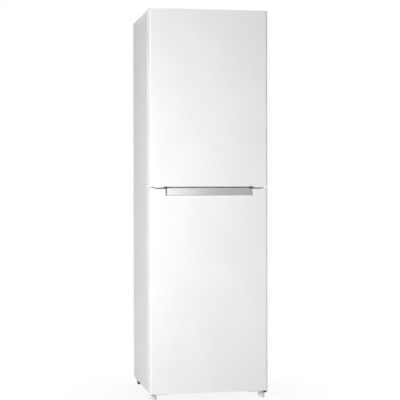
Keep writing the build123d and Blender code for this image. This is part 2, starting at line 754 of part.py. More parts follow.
capillary_radius = 1.2
capillary_offset = 18.0
capillary_drop = 25.0
pipe_bend = 14.0
small_bend = 8.0
drier_bend_start = 40.0
drier_bend_end = 20.0
capillary_x = feed_x + capillary_offset
capillary_z = drier_z[0] - capillary_drop
discharge_z = weld_z + weld_band / 2
with BuildPart() as refrigerant_pipes:
    pipe(
        [
            (compressor_x - compressor_long - weld_lip, compressor_y, discharge_z),
            (feed_x, compressor_y, discharge_z),
            (feed_x, condenser_y, discharge_z),
            (feed_x, condenser_y, condenser_low),
            (-condenser_half, condenser_y, condenser_low),
        ],
        [pipe_bend, pipe_bend, pipe_bend],
        tube_radius,
    )
    pipe(
        [
            (-condenser_half, condenser_y, condenser_high),
            (riser_x_left, condenser_y, condenser_high),
            (riser_x_left, condenser_y, drier_z[1] + drier_bend_start),
            (riser_x_left, drier_y, drier_z[1] + drier_bend_end),
            (riser_x_left, drier_y, drier_z[1]),
        ],
        [pipe_bend, pipe_bend, pipe_bend],
        tube_radius,
    )
    pipe(
        [
            (riser_x_left, drier_y, drier_z[0]),
            (riser_x_left, drier_y, capillary_z),
            (capillary_x, drier_y, capillary_z),
            (capillary_x, compressor_y, capillary_z),
            (capillary_x, compressor_y, bay_roof - bay_sheet),
        ],
        [small_bend, small_bend, small_bend],
        capillary_radius,
    )
    rod_z(plate_riser_x, shelf_back_y + tube_radius, tube_radius, (plate_heights[0], top_coil_z))
keep(refrigerant_pipes, "refrigerant_pipes")

# The freezer is cooled by plates with the tube under them, which are also its shelves.
coil_width = 7.0
coil_depth = 5.0
coil_side_inset = 26.0
coil_front_inset = 22.0
coil_back_inset = 28.0
coil_count = 8
coil_half = plate_half - coil_side_inset


def cooling_plate(height):
    """A freezer shelf: a plate with a serpentine channel under it; height is its underside."""
    block((-plate_half, plate_half), (plate_front_y, shelf_back_y), (height, height + plate_sheet))
    low = (height - coil_depth, height)
    span = shelf_back_y - plate_front_y - coil_front_inset - coil_back_inset
    pitch = span / (coil_count - 1)
    for number in range(coil_count):
        y = plate_front_y + coil_front_inset + pitch * number
        block((-coil_half, coil_half), (y - coil_width / 2, y + coil_width / 2), low)
        if number < coil_count - 1:
            towards = 1 if number % 2 == 0 else -1
            x = sorted((towards * coil_half, towards * (coil_half - coil_width)))
            block(x, (y, y + pitch), low)


with BuildPart() as evaporators:
    for height in plate_heights + [top_coil_z]:
        cooling_plate(height)
    block((-evaporator_half, evaporator_half), evaporator_y, (evaporator_low, evaporator_high))
keep(evaporators, "evaporators")

inlet_side_gap = 14.0
inlet_width = 52.0
inlet_height = 34.0
inlet_depth = 26.0
inlet_edge_radius = 4.0
socket_width = 24.0
socket_height = 16.0
socket_rise = 10.0
socket_depth = 18.0
prong_pitch = 7.0
prong_width = 2.0
prong_height = 4.0
prong_setback = 3.0           # prong ends inside the mouth of the socket
inlet_x = (-side_inner_x + inlet_side_gap, -side_inner_x + inlet_side_gap + inlet_width)
inlet_back_y = foam_back_y - bend_radius
inlet_middle = (inlet_x[0] + inlet_x[1]) / 2
socket_z = (tray_top + socket_rise, tray_top + socket_rise + socket_height)
socket_y = (inlet_back_y - socket_depth, inlet_back_y)
prong_middle_z = (socket_z[0] + socket_z[1]) / 2
with BuildPart() as mains_inlet:
    block(inlet_x, (inlet_back_y - inlet_depth, inlet_back_y), (tray_top, tray_top + inlet_height))
    fillet(mains_inlet.edges().filter_by(Axis.Y).group_by(Axis.Z)[-1], inlet_edge_radius)
    block((inlet_middle - socket_width / 2, inlet_middle + socket_width / 2), socket_y, socket_z,
          Mode.SUBTRACT)
    for step in (-1, 0, 1):
        prong_x = inlet_middle + step * prong_pitch
        block((prong_x - prong_width / 2, prong_x + prong_width / 2),
              (socket_y[0], inlet_back_y - prong_setback),
              (prong_middle_z - prong_height / 2, prong_middle_z + prong_height / 2))
keep(mains_inlet, "mains_inlet")

# ======================= fridge compartment fittings =======================

housing_half = 100.0
housing_height = 36.0
housing_setback = 28.0        # from the front of the cabinet
housing_length = 150.0
housing_corner_radius = 14.0
housing_edge_radius = 4.0
knob_x = -50.0
knob_setback = 60.0
knob_radius = 18.0
knob_height = 14.0
knob_chamfer = 1.5
knob_gap = 0.3
knob_shaft_radius = 3.0
knob_shaft_length = 12.0
knob_bar_width = 5.0
knob_bar_height = 5.0
knob_bar_inset = 1.0
shaft_end_gap = 1.0
plunger_x = 62.0
plunger_drop = 16.0           # plunger's axis below the ceiling
plunger_radius = 4.0
plunger_tip_radius = 1.5
plunger_bore_depth = 30.0
plunger_end_gap = 2.0
plunger_gap = 0.3
housing_front_y = cabinet_front_y + housing_setback
housing_back_y = housing_front_y + housing_length
housing_low = fridge_ceiling - housing_height
knob_y = housing_front_y + knob_setback
knob_z = (housing_low - knob_gap - knob_height, housing_low - knob_gap)
plunger_z = fridge_ceiling - plunger_drop
rim_back_y = door_back_y + dike_depth

with BuildPart() as thermostat_housing:
    block((-housing_half, housing_half), (housing_front_y, housing_back_y), (housing_low, fridge_ceiling))
    fillet(thermostat_housing.edges().filter_by(Axis.Z), housing_corner_radius)
    fillet(thermostat_housing.faces().sort_by(Axis.Z)[0].edges(), housing_edge_radius)
    rod_z(knob_x, knob_y, knob_shaft_radius + pin_clearance,
          (housing_low, housing_low + knob_shaft_length + shaft_end_gap), Mode.SUBTRACT)
    rod_y(plunger_x, plunger_z, plunger_radius + pin_clearance,
          (housing_front_y, housing_front_y + plunger_bore_depth), Mode.SUBTRACT)
keep(thermostat_housing, "thermostat_housing")

with BuildPart() as thermostat_knob:
    rod_z(knob_x, knob_y, knob_radius, knob_z)
    chamfer(thermostat_knob.edges().filter_by(GeomType.CIRCLE).sort_by(Axis.Z)[0], knob_chamfer)
    bar_half_length = knob_radius - knob_bar_inset
    block((knob_x - knob_bar_width / 2, knob_x + knob_bar_width / 2),
          (knob_y - bar_half_length, knob_y + bar_half_length), (knob_z[0] - knob_bar_height, knob_z[0]))
    rod_z(knob_x, knob_y, knob_shaft_radius, (knob_z[1], housing_low + knob_shaft_length))
keep(thermostat_knob, "thermostat_knob")

with BuildPart() as light_switch_plunger:
    rod_y(plunger_x, plunger_z, plunger_radius,
          (rim_back_y + plunger_gap, housing_front_y + plunger_bore_depth - plunger_end_gap))
    fillet(light_switch_plunger.edges().filter_by(GeomType.CIRCLE).sort_by(Axis.Y)[0], plunger_tip_radius)
keep(light_switch_plunger, "light_switch_plunger")

lamp_length = 70.0
lamp_half = 38.0
lamp_wall = 2.0
lamp_corner_radius = 10.0
lamp_step = 2.0               # lamp cover's underside above the housing's
bulb_radius = 13.0
bulb_setback = 32.0           # middle of the bulb from the back of the housing
socket_radius = 6.5
collar_radius = 9.0
bulb_lift = 1.0
lamp_y = (housing_back_y, housing_back_y + lamp_length)
with BuildPart() as lamp_cover:
    block((-lamp_half, lamp_half), lamp_y, (housing_low + lamp_step, fridge_ceiling))
    fillet(lamp_cover.edges().filter_by(Axis.Z).group_by(Axis.Y)[-1], lamp_corner_radius)
    block((-lamp_half + lamp_wall, lamp_half - lamp_wall), (lamp_y[0], lamp_y[1] - lamp_wall),
          (housing_low + lamp_step + lamp_wall, fridge_ceiling), Mode.SUBTRACT)
keep(lamp_cover, "lamp_cover")

lamp_z = (housing_low + fridge_ceiling) / 2 + bulb_lift
bulb_y = housing_back_y + bulb_setback
with BuildPart() as lamp_bulb:
    rod_y(0, lamp_z, socket_radius, (housing_back_y, bulb_y - bulb_radius + lamp_wall))
    with Locations((0, bulb_y, lamp_z)):
        Sphere(bulb_radius)
    rod_y(0, lamp_z, collar_radius, (bulb_y - bulb_radius - lamp_wall, bulb_y))
keep(lamp_bulb, "lamp_bulb")

glass_side_gap = 2.0
glass_corner_radius = 6.0
glass_half = fridge_half - glass_side_gap


def glass_shelf(height, name):
    """A glass shelf resting on the liner's ridges; height is its top."""
    with BuildPart() as shelf:
        with BuildSketch(Plane.XY.offset(height - glass_thickness)):
            with Locations((0, (shelf_front_y + shelf_back_y) / 2)):
                RectangleRounded(2 * glass_half, shelf_back_y - shelf_front_y, glass_corner_radius)
        extrude(amount=glass_thickness)
    keep(shelf, name)


for number, height in enumerate(shelf_heights, start=1):
    glass_shelf(height, f"fridge_shelf_{number}")
glass_shelf(crisper_cover_z, "crisper_cover")

drawer_wall = 2.5
drawer_side_gap = 4.0         # drawer to the ridges on the side walls
crisper_front_wall = 8.0
crisper_top_gap = 6.0
crisper_front_gap = 2.0
crisper_front_lift = 1.0
crisper_hold_half = 70.0
crisper_hold_height = 32.0
crisper_hold_depth = 5.0
crisper_hold_drop = 18.0
crisper_edge_radius = 0.8
crisper_half = fridge_half - ridge_reach - drawer_side_gap
crisper_roof = crisper_cover_z - glass_thickness - ridge_height
crisper_front_top = crisper_roof - crisper_front_gap
crisper_hold_top = crisper_front_top - crisper_hold_drop
with BuildPart() as crisper_drawer:
    tray((-crisper_half, crisper_half), (shelf_front_y + crisper_front_wall, shelf_back_y),
         (fridge_floor, crisper_roof - crisper_top_gap), drawer_wall, drawer_wall)
    block((-crisper_half, crisper_half), (shelf_front_y, shelf_front_y + crisper_front_wall),
          (fridge_floor + crisper_front_lift, crisper_front_top))
    block((-crisper_hold_half, crisper_hold_half), (shelf_front_y, shelf_front_y + crisper_hold_depth),
          (crisper_hold_top - crisper_hold_height, crisper_hold_top), Mode.SUBTRACT)
    fillet(crisper_drawer.edges().filter_by(Axis.Y).group_by(Axis.Z)[0], crisper_edge_radius)
keep(crisper_drawer, "crisper_drawer")

# ======================= freezer drawers =======================

drawer_front_side_gap = 4.0
drawer_setback = 92.0         # drawer fronts from the front of the lower door
drawer_front_wall = 8.0
drawer_front_rise = 12.0      # drawer front above the drawer's walls
drawer_edge_radius = 3.0
hold_half = 75.0
hold_height = 34.0
hold_depth = 5.5
hold_drop = 18.0
first_drawer_back_gap = 6.0
drawer_back_gap = 10.0
freezer_drawer_half = freezer_half - ridge_reach - drawer_side_gap
drawer_front_half = freezer_half - drawer_front_side_gap
drawer_front_y = front_y + drawer_setback


def freezer_drawer(low, high, back, name):
    """A deep drawer with a thicker front and a hand hold cut in it."""
    with BuildPart() as drawer:
        tray((-freezer_drawer_half, freezer_drawer_half), (drawer_front_y + drawer_front_wall, back),
             (low, high - drawer_front_rise), drawer_wall, drawer_wall)
        block((-drawer_front_half, drawer_front_half), (drawer_front_y, drawer_front_y + drawer_front_wall),
              (low, high))
        fillet(drawer.faces().sort_by(Axis.Y)[0].edges(), drawer_edge_radius)
        block((-hold_half, hold_half), (drawer_front_y, drawer_front_y + hold_depth),
              (high - hold_drop - hold_height, high - hold_drop), Mode.SUBTRACT)
    keep(drawer, name)


drawer_gap = 4.0
drawer_lows = [freezer_floor] + [height + plate_sheet for height in plate_heights]
drawer_highs = [height - coil_depth - drawer_gap for height in plate_heights + [top_coil_z]]
drawer_backs = [step_front_y - first_drawer_back_gap] + [shelf_back_y - drawer_back_gap] * 3
for number in range(4):
    freezer_drawer(drawer_lows[number], drawer_highs[number], drawer_backs[number],
                   f"freezer_drawer_{4 - number}")

# ======================= doors =======================


def door_plan(grow):
    """Plan of a door: a rectangle with rounded front edges, grown outwards or inwards."""
    with BuildSketch(mode=Mode.PRIVATE) as plan:
        with Locations((0, (front_y + door_back_y - liner_flange) / 2)):
            Rectangle(overall_width + 2 * grow, door_thickness - liner_flange + 2 * grow)
        fillet(plan.vertices().group_by(Axis.Y)[0], door_edge_radius + grow)
        back = door_back_y - liner_flange
        with Locations((0, back + door_edge_radius)):
            Rectangle(overall_width * 2, door_edge_radius * 2, mode=Mode.SUBTRACT)
    return plan.sketch


def door_slab(grow, z, mode=Mode.ADD):
    """Add or cut a door-shaped slab between two heights."""
    with BuildSketch(Plane.XY.offset(z[0])) as plan:
        add(door_plan(grow))
    extrude(plan.sketch, amount=z[1] - z[0], mode=mode)


def door_skin(z):
    """Steel front of a door with its sides folded back."""
    door_slab(0, z)
    with BuildSketch(Plane.XY.offset(z[0])) as inside:
        add(door_plan(-skin))
        with Locations((0, door_back_y - liner_flange - skin)):
            Rectangle(overall_width - 2 * skin, 2 * skin)
    extrude(inside.sketch, amount=z[1] - z[0], mode=Mode.SUBTRACT)


rim_edge_radius = 3.0
gasket_base = 5.0
gasket_step = 2.5


def rim_boxes(half, low, high, inset):
    """The four bars of the raised rim on the inside of a door, made smaller by an inset."""
    y = (door_back_y - liner_flange, rim_back_y - inset)
    width = dike_width
    bars = []
    for x in both_sides(half - width + inset, half - inset):
        bars.append((x, y, (low + inset, high - inset)))
    bars.append(((-half + inset, half - inset), y, (low + inset, low + width - inset)))
    bars.append(((-half + inset, half - inset), y, (high - width + inset, high - inset)))
    return bars


def door_foam(z, rim):
    """Foam core of a door, which also fills the raised rim."""
    with BuildPart() as foam:
        with BuildSketch(Plane.XY.offset(z[0])):
            add(door_plan(-skin))
            with Locations((0, door_back_y - liner_flange - skin)):
                Rectangle(overall_width - 2 * skin, 2 * skin)
        extrude(amount=z[1] - z[0])
        for x, y, height in rim_boxes(*rim, dike_wall):
            block(x, y, height)
    return foam


def door_liner(z, rim):
    """Moulded inside of a door: a flange over the whole back and a raised rim."""
    with BuildPart() as liner:
        block((-half_width, half_width), (door_back_y - liner_flange, door_back_y), z)
        fillet(liner.faces().sort_by(Axis.Y)[-1].edges(), liner_edge_radius)
        for x, y, height in rim_boxes(*rim, 0.0):
            block(x, y, height)
        fillet(liner.faces().filter_by(Axis.Y).sort_by(Axis.Y)[-1].edges(), rim_edge_radius)
        for x, y, height in rim_boxes(*rim, dike_wall):
            block(x, y, height, Mode.SUBTRACT)
    return liner


def door_gasket(z):
    """Magnetic gasket: a frame with a step in its section, against the cabinet's front."""
    outer = half_width - gasket_side_inset
    inner = outer - gasket_width
    base_y = (door_back_y, door_back_y + gasket_base)
    face_y = (door_back_y + gasket_base, cabinet_front_y)
    with BuildPart() as gasket:
        block((-outer, outer), base_y, z)
        block((-outer + gasket_step, outer - gasket_step), face_y, (z[0] + gasket_step, z[1] - gasket_step))
        block((-inner, inner), base_y, (z[0] + gasket_width, z[1] - gasket_width), Mode.SUBTRACT)
        block((-inner - gasket_step, inner + gasket_step), face_y,
              (z[0] + gasket_width - gasket_step, z[1] - gasket_width + gasket_step), Mode.SUBTRACT)
    return gasket


fridge_bottom_cap_height = 26.0
fridge_top_cap_height = 36.0
freezer_bottom_cap_height = 26.0
freezer_top_cap_height = 48.0
hinge_notch_gap = 7.0
pin_end_gap = 2.0
cap_edge_radius = 1.0
upper_pocket_lead = 4.0       # finger pocket of the upper door starts in front of the lower one's
upper_pocket_rise = 16.0
corner_lip_gap = 0.5
plug_back = door_back_y - liner_flange
fridge_skin_low = fridge_door_bottom + corner_rise
fridge_skin_high = overall_height - cap_lip
fridge_bottom_cap_top = fridge_skin_low + fridge_bottom_cap_height
fridge_top_cap_bottom = overall_height - fridge_top_cap_height
freezer_skin_low = foot_height + cap_lip
freezer_skin_high = freezer_door_top - cap_lip
freezer_bottom_cap_top = foot_height + freezer_bottom_cap_height
freezer_top_cap_bottom = freezer_door_top - freezer_top_cap_height
hinge_notch_x = hinge_x - arm_half - hinge_notch_gap
hinge_notch_y = front_y + door_edge_radius
pocket_half = grip_width / 2 + pocket_overrun
pocket_y = (front_y + pocket_front, front_y + pocket_back)
upper_pocket_y = (pocket_y[0] - upper_pocket_lead, pocket_y[1])
pocket_end_y = (pocket_y[0], front_y + pocket_end_back)
grip_low = freezer_door_top - grip_depth
grip_rise_half = grip_width / 2 - grip_rise_inset
grip_seat = grip_lean + grip_plate_wall
fridge_rim = (fridge_half - dike_clearance, fridge_floor + dike_clearance, fridge_ceiling - dike_clearance)
freezer_rim = (freezer_half - dike_clearance, freezer_floor + dike_clearance,
               freezer_ceiling - dike_clearance)
front_cut_y = (front_y - door_thickness, front_y + door_edge_radius)


def cut_hinge_pocket():
    """Cut the pocket in the top right corner of the upper door, in which the hinge arm turns."""
    block((hinge_notch_x, overall_width), (hinge_notch_y, rim_back_y),
          (top_pocket_floor, 2 * overall_height), Mode.SUBTRACT)


with BuildPart() as fridge_door_skin:
    door_skin((fridge_skin_low, fridge_skin_high))
    cut_hinge_pocket()
keep(fridge_door_skin, "fridge_door_skin")

fridge_door_foam = door_foam((fridge_bottom_cap_top, fridge_top_cap_bottom), fridge_rim)
keep(fridge_door_foam, "fridge_door_foam")

with BuildPart() as fridge_door_liner:
    add(door_liner((fridge_skin_low, overall_height), fridge_rim).part)
    cut_hinge_pocket()
keep(fridge_door_liner, "fridge_door_liner")

fridge_door_gasket = door_gasket((fridge_door_bottom + gasket_mid_inset, overall_height - gasket_top_inset))
keep(fridge_door_gasket, "fridge_door_gasket")

with BuildPart() as fridge_door_top_cap:
    door_slab(-skin, (fridge_top_cap_bottom, fridge_skin_high))
    door_slab(0, (fridge_skin_high, overall_height))
    fillet(fridge_door_top_cap.faces().sort_by(Axis.Z)[-1].edges().sort_by(Axis.Y)[0:3], cap_edge_radius)
    cut_hinge_pocket()
    rod_z(hinge_x, hinge_y, bore_radius, (top_pocket_floor - pin_length, top_pocket_floor), Mode.SUBTRACT)
keep(fridge_door_top_cap, "fridge_door_top_cap")

with BuildPart() as fridge_door_bottom_cap:
    door_slab(-skin, (fridge_skin_low, fridge_bottom_cap_top))
    for x in both_sides(tab_inner, tab_outer):
        block(x, (front_y, plug_back), (fridge_door_bottom, fridge_skin_low))
    upper_pocket_z = (fridge_skin_low, fridge_skin_low + upper_pocket_rise)
    block((-pocket_half, pocket_half), upper_pocket_y, upper_pocket_z, Mode.SUBTRACT)
    for x in both_sides(grip_rise_half, pocket_half):
        block(x, pocket_end_y, upper_pocket_z, Mode.SUBTRACT)
    rod_z(hinge_x, hinge_y, boss_radius, (mid_plate_z[1] + bearing_gap, fridge_skin_low))
    rod_z(hinge_x, hinge_y, bore_radius,
          (mid_plate_z[1], fridge_skin_low + pin_length + pin_end_gap), Mode.SUBTRACT)
keep(fridge_door_bottom_cap, "fridge_door_bottom_cap")

# Door shelves hang between the rims; the lowest is the deepest, for bottles.
balcony_side_gap = 0.5
balcony_wall = 2.5
balcony_corner_radius = 2.0
balcony_back_rise = 30.0      # lower wall at the back, against the door
low_balcony_gap = 2.0
middle_balcony_rise = 290.0
top_balcony_rise = 500.0
low_balcony_height = 88.0
balcony_height = 62.0
low_balcony_depth = 104.0
balcony_depth = 88.0
balcony_half = fridge_rim[0] - dike_width - balcony_side_gap


def door_balcony(low, height, depth, name):
    """A door shelf: a tray with a lower back, which hangs between the rims."""
    with BuildPart() as door_shelf:
        tray((-balcony_half, balcony_half), (door_back_y, door_back_y + depth), (low, low + height),
             balcony_wall, balcony_wall)
        block((-balcony_half + balcony_wall, balcony_half - balcony_wall),
              (door_back_y, door_back_y + balcony_wall), (low + balcony_back_rise, low + height),
              Mode.SUBTRACT)
        fillet(door_shelf.edges().filter_by(Axis.Z).group_by(Axis.Y)[-1], balcony_corner_radius)
    keep(door_shelf, name)


door_balcony(fridge_rim[1] + dike_width + low_balcony_gap, low_balcony_height, low_balcony_depth,
             "door_shelf_3")
door_balcony(fridge_floor + middle_balcony_rise, balcony_height, balcony_depth, "door_shelf_2")
door_balcony(fridge_floor + top_balcony_rise, balcony_height, balcony_depth, "door_shelf_1")

with BuildPart() as freezer_door_skin:
    door_skin((freezer_skin_low, freezer_door_top + corner_rise - corner_lip_gap))
    lip_z = (freezer_skin_high, overall_height)
    block((-tab_outer, tab_outer), (front_y - door_thickness, door_back_y), lip_z, Mode.SUBTRACT)
    block((-half_width, half_width), (front_cut_y[1], door_back_y), lip_z, Mode.SUBTRACT)
    block((-grip_width / 2, grip_width / 2), front_cut_y, (grip_low - grip_roll, overall_height),
          Mode.SUBTRACT)
keep(freezer_door_skin, "freezer_door_skin")

freezer_door_foam = door_foam((freezer_bottom_cap_top, freezer_top_cap_bottom), freezer_rim)
keep(freezer_door_foam, "freezer_door_foam")
freezer_door_liner = door_liner((foot_height, freezer_door_top), freezer_rim)
keep(freezer_door_liner, "freezer_door_liner")
freezer_door_gasket = door_gasket((foot_height + gasket_base_inset, freezer_door_top - gasket_mid_inset))
keep(freezer_door_gasket, "freezer_door_gasket")


def grip_dish(inset, depth, mode=Mode.ADD):
    """Add or cut the grip's shallow dish with sloping ends, from its low edge to the door's top."""
    half = grip_width / 2 - inset
    run = grip_end_slope * depth
    with BuildSketch(Plane.XY.offset(grip_low)) as plan:
        Polygon(
            (-half, front_y),
            (half, front_y),
            (half - run, front_y + depth),
            (run - half, front_y + depth),
            align=None,
        )
    extrude(plan.sketch, amount=grip_depth, mode=mode)


with BuildPart() as freezer_door_top_cap:
    door_slab(-skin, (freezer_top_cap_bottom, freezer_skin_high))
    door_slab(0, (freezer_skin_high, freezer_door_top))
    for x in both_sides(tab_outer, half_width):
        block(x, (front_y, front_cut_y[1]), (freezer_skin_high, freezer_door_top), Mode.SUBTRACT)
    block((-grip_width / 2, grip_width / 2), (front_y, front_y + grip_roll), (grip_low - grip_roll, grip_low))
    with BuildSketch(side_plane.offset(-grip_width / 2)) as roll:
        with Locations((front_y + grip_roll / 2, grip_low - grip_roll / 2)):
            Rectangle(grip_roll, grip_roll)
        with Locations((front_y + grip_roll, grip_low - grip_roll)):
            Circle(grip_roll, mode=Mode.SUBTRACT)
    extrude(roll.sketch, amount=grip_width, mode=Mode.SUBTRACT)
    grip_dish(0.0, grip_seat, Mode.SUBTRACT)
    pocket_z = (freezer_door_top - pocket_depth, freezer_door_top)
    block((-pocket_half, pocket_half), pocket_y, pocket_z, Mode.SUBTRACT)
    for x in both_sides(grip_rise_half, pocket_half):
        block(x, pocket_end_y, pocket_z, Mode.SUBTRACT)
    rod_z(hinge_x, hinge_y, bore_radius,
          (freezer_door_top - pin_length - pin_end_gap, freezer_door_top), Mode.SUBTRACT)
keep(freezer_door_top_cap, "freezer_door_top_cap")

with BuildPart() as grip_plate:
    grip_dish(0.0, grip_seat)
    grip_dish(grip_end_wall, grip_lean, Mode.SUBTRACT)
    block((-grip_rise_half, grip_rise_half), (front_y + grip_lean, front_y + grip_seat),
          (freezer_door_top, freezer_door_top + grip_plate_rise))
keep(grip_plate, "grip_plate")

with BuildPart() as freezer_door_bottom_cap:
    door_slab(-skin, (freezer_skin_low, freezer_bottom_cap_top))
    door_slab(0, (foot_height, freezer_skin_low))
    rod_z(hinge_x, hinge_y, boss_radius, (base_plate_z[1] + bearing_gap, foot_height))
    rod_z(hinge_x, hinge_y, bore_radius, (base_plate_z[1], foot_height + pin_length + pin_end_gap),
          Mode.SUBTRACT)
keep(freezer_door_bottom_cap, "freezer_door_bottom_cap")
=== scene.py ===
"""Looks of a free-standing bottom freezer refrigerator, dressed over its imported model."""

import functools
import logging
import math
from collections.abc import Callable, Iterable
from dataclasses import dataclass
from enum import Enum

import bpy
from mathutils import Matrix, Vector


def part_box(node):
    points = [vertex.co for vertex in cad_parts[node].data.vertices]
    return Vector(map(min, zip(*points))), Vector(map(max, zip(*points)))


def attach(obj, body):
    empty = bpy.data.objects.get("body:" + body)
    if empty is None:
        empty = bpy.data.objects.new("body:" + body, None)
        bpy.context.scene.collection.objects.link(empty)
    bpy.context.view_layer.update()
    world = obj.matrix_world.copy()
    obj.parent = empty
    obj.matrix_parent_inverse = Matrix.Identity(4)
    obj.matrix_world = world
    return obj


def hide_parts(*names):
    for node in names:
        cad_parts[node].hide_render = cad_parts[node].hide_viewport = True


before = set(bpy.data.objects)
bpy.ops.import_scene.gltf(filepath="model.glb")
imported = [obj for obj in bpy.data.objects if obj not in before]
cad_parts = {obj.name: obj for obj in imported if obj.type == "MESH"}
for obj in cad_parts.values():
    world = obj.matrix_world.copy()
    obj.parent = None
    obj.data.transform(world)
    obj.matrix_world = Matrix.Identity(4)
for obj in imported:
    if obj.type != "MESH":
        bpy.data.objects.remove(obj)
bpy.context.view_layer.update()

log = logging.getLogger("refrigerator")

Pair = tuple[float, float]
Triple = tuple[float, float, float]
Row = tuple[float, float, int]
Options = dict | None
Socket = bpy.types.NodeSocket

SIDES = (-1, 1)
WHITE = (1.0, 1.0, 1.0, 1.0)
EVEN: Triple = (1.0, 1.0, 1.0)
UNTURNED: Triple = (0.0, 0.0, 0.0)
ALONG_Y: Triple = (math.pi / 2, 0.0, 0.0)
ALONG_X: Triple = (0.0, math.pi / 2, 0.0)
OVERHEAD: Triple = (math.pi, 0.0, 0.0)


# ======================= shader tools =======================


def arithmetic(operation: str) -> tuple[Callable, Callable]:
    """Makes an operator and its reflected form, each of which adds one Math node.

    Args:
        operation: The node's operation.

    Returns:
        The operator's methods, for a Value first and for a plain number first.
    """

    def plain(self: "Value", other: "Value | float") -> "Value":
        """The operation on this value and another."""
        return self.combine(operation, self, other)

    def reflected(self: "Value", other: float) -> "Value":
        """The operation on a plain number and this value."""
        return self.combine(operation, other, self)

    return plain, reflected


class Value:
    """A number that changes over a surface, with the arithmetic that Math nodes do."""

    __add__, __radd__ = arithmetic("ADD")
    __sub__, __rsub__ = arithmetic("SUBTRACT")
    __mul__, __rmul__ = arithmetic("MULTIPLY")
    __pow__, __rpow__ = arithmetic("POWER")

    def __init__(self, shader: "Shader", socket: Socket) -> None:
        """Wraps an output socket with one number, in the shader that it belongs to."""
        self.shader, self.socket = shader, socket

    def combine(self, operation: str, *operands: "Value | float") -> "Value":
        """Adds one Math node, with its inputs in order."""
        inputs = dict(enumerate(operands))
        return self.shader.value("ShaderNodeMath", "Value", {"operation": operation}, inputs)

    def smaller(self, other: "Value | float") -> "Value":
        """The smaller of two."""
        return self.combine("MINIMUM", self, other)

    def eased(self, low: float, high: float, start: float = 0.0, end: float = 1.0) -> "Value":
        """Maps the span from low to high onto that from start to end, with soft ends."""
        spans = {"Value": self, "From Min": low, "From Max": high, "To Min": start, "To Max": end}
        return self.shader.value("ShaderNodeMapRange", "Result", {"interpolation_type": "SMOOTHSTEP"}, spans)


class Shader:
    """A node tree, with one method that adds any node and a few named patterns."""

    def __init__(self, tree: bpy.types.NodeTree) -> None:
        """Empties the node tree of a material or a world, and takes it over."""
        self.tree = tree
        self.tree.nodes.clear()

    def feed(self, socket: Socket, value: object) -> None:
        """Sets a socket to a constant, or links a value into it.

        Args:
            socket: An input socket.
            value: A Value, an output socket, or a constant.
        """
        source = value.socket if isinstance(value, Value) else value
        if isinstance(source, Socket):
            self.tree.links.new(source, socket)
        else:
            socket.default_value = source

    def node(self, kind: str, settings: Options = None, inputs: Options = None) -> bpy.types.Node:
        """Adds a node.

        Args:
            kind: The node's type name.
            settings: Its settings, which are set first.
            inputs: Values or links by socket name or number.

        Returns:
            The new node.
        """
        made = self.tree.nodes.new(kind)
        for key, setting in (settings or {}).items():
            setattr(made, key, setting)
        for key, value in (inputs or {}).items():
            self.feed(made.inputs[key], value)
        return made

    def value(self, kind: str, output: str | int, settings: Options = None, inputs: Options = None) -> Value:
        """Adds a node, and wraps the output that has this name or number."""
        return Value(self, self.node(kind, settings, inputs).outputs[output])

    @functools.cached_property
    def coordinates(self) -> Socket:
        """Object coordinates, in metres."""
        return self.node("ShaderNodeTexCoord").outputs["Object"]

    def along(self, axis: str) -> Value:
        """The place along X, Y or Z, in metres."""
        return self.value("ShaderNodeSeparateXYZ", axis, None, {"Vector": self.coordinates})

    def placed(self, size: float, stretch: Triple) -> dict:
        """Inputs of a pattern with features of this size, drawn out where stretch is below 1."""
        mapping = self.node("ShaderNodeMapping", None, {"Vector": self.coordinates, "Scale": stretch})
        return {"Vector": mapping.outputs["Vector"], "Scale": 1.0 / size}

    def noise(self, size: float, detail: float = 2.0, rough: float = 0.5, stretch: Triple = EVEN) -> Value:
        """Cloudy noise about 0.5, with so many octaves and such a share of the finer ones."""
        inputs = {**self.placed(size, stretch), "Detail": detail, "Roughness": rough}
        return self.value("ShaderNodeTexNoise", 0, None, inputs)

    def cells(self, size: float, feature: str = "F1") -> Value:
        """Distance from the middles of cells of this size, or with DISTANCE_TO_EDGE from their edges."""
        return self.value("ShaderNodeTexVoronoi", "Distance", {"feature": feature}, self.placed(size, EVEN))

    def patches(self, size: float, stretch: Triple) -> Value:
        """One random value for each cell of this size."""
        colour = self.value("ShaderNodeTexVoronoi", "Color", {"feature": "F1"}, self.placed(size, stretch))
        return self.value("ShaderNodeSeparateColor", "Red", None, {"Color": colour})

    def tint(self, factor: Value, first: Triple, second: Triple) -> Socket:
        """Mixes two colours, 0 for the first and 1 for the second; the numbers are the colour sockets."""
        inputs = {"Factor": factor, 6: (*first, 1.0), 7: (*second, 1.0)}
        return self.node("ShaderNodeMix", {"data_type": "RGBA"}, inputs).outputs[2]

    def bump(self, height: Value, depth: float, under: Socket | None = None) -> Socket:
        """Relief with a depth in metres, from a height of 0 to 1, over another relief if there is one."""
        inputs = {"Height": height, "Distance": depth, "Strength": 1.0} | ({"Normal": under} if under else {})
        return self.node("ShaderNodeBump", None, inputs).outputs["Normal"]

    def seen(self) -> Value:
        """1 for what the camera sees straight, in gloss or through glass, else 0."""
        rays = self.node("ShaderNodeLightPath").outputs
        kinds = ("Camera", "Glossy", "Transmission")
        camera, gloss, glass = (Value(self, rays[f"Is {kind} Ray"]) for kind in kinds)
        return (camera + gloss + glass).smaller(1.0)

    def close(self, inputs: dict) -> None:
        """Ends the tree with a Principled shader that has these inputs."""
        body = self.node("ShaderNodeBsdfPrincipled", None, inputs)
        self.node("ShaderNodeOutputMaterial", None, {"Surface": body.outputs[0]})


# ======================= finishes =======================


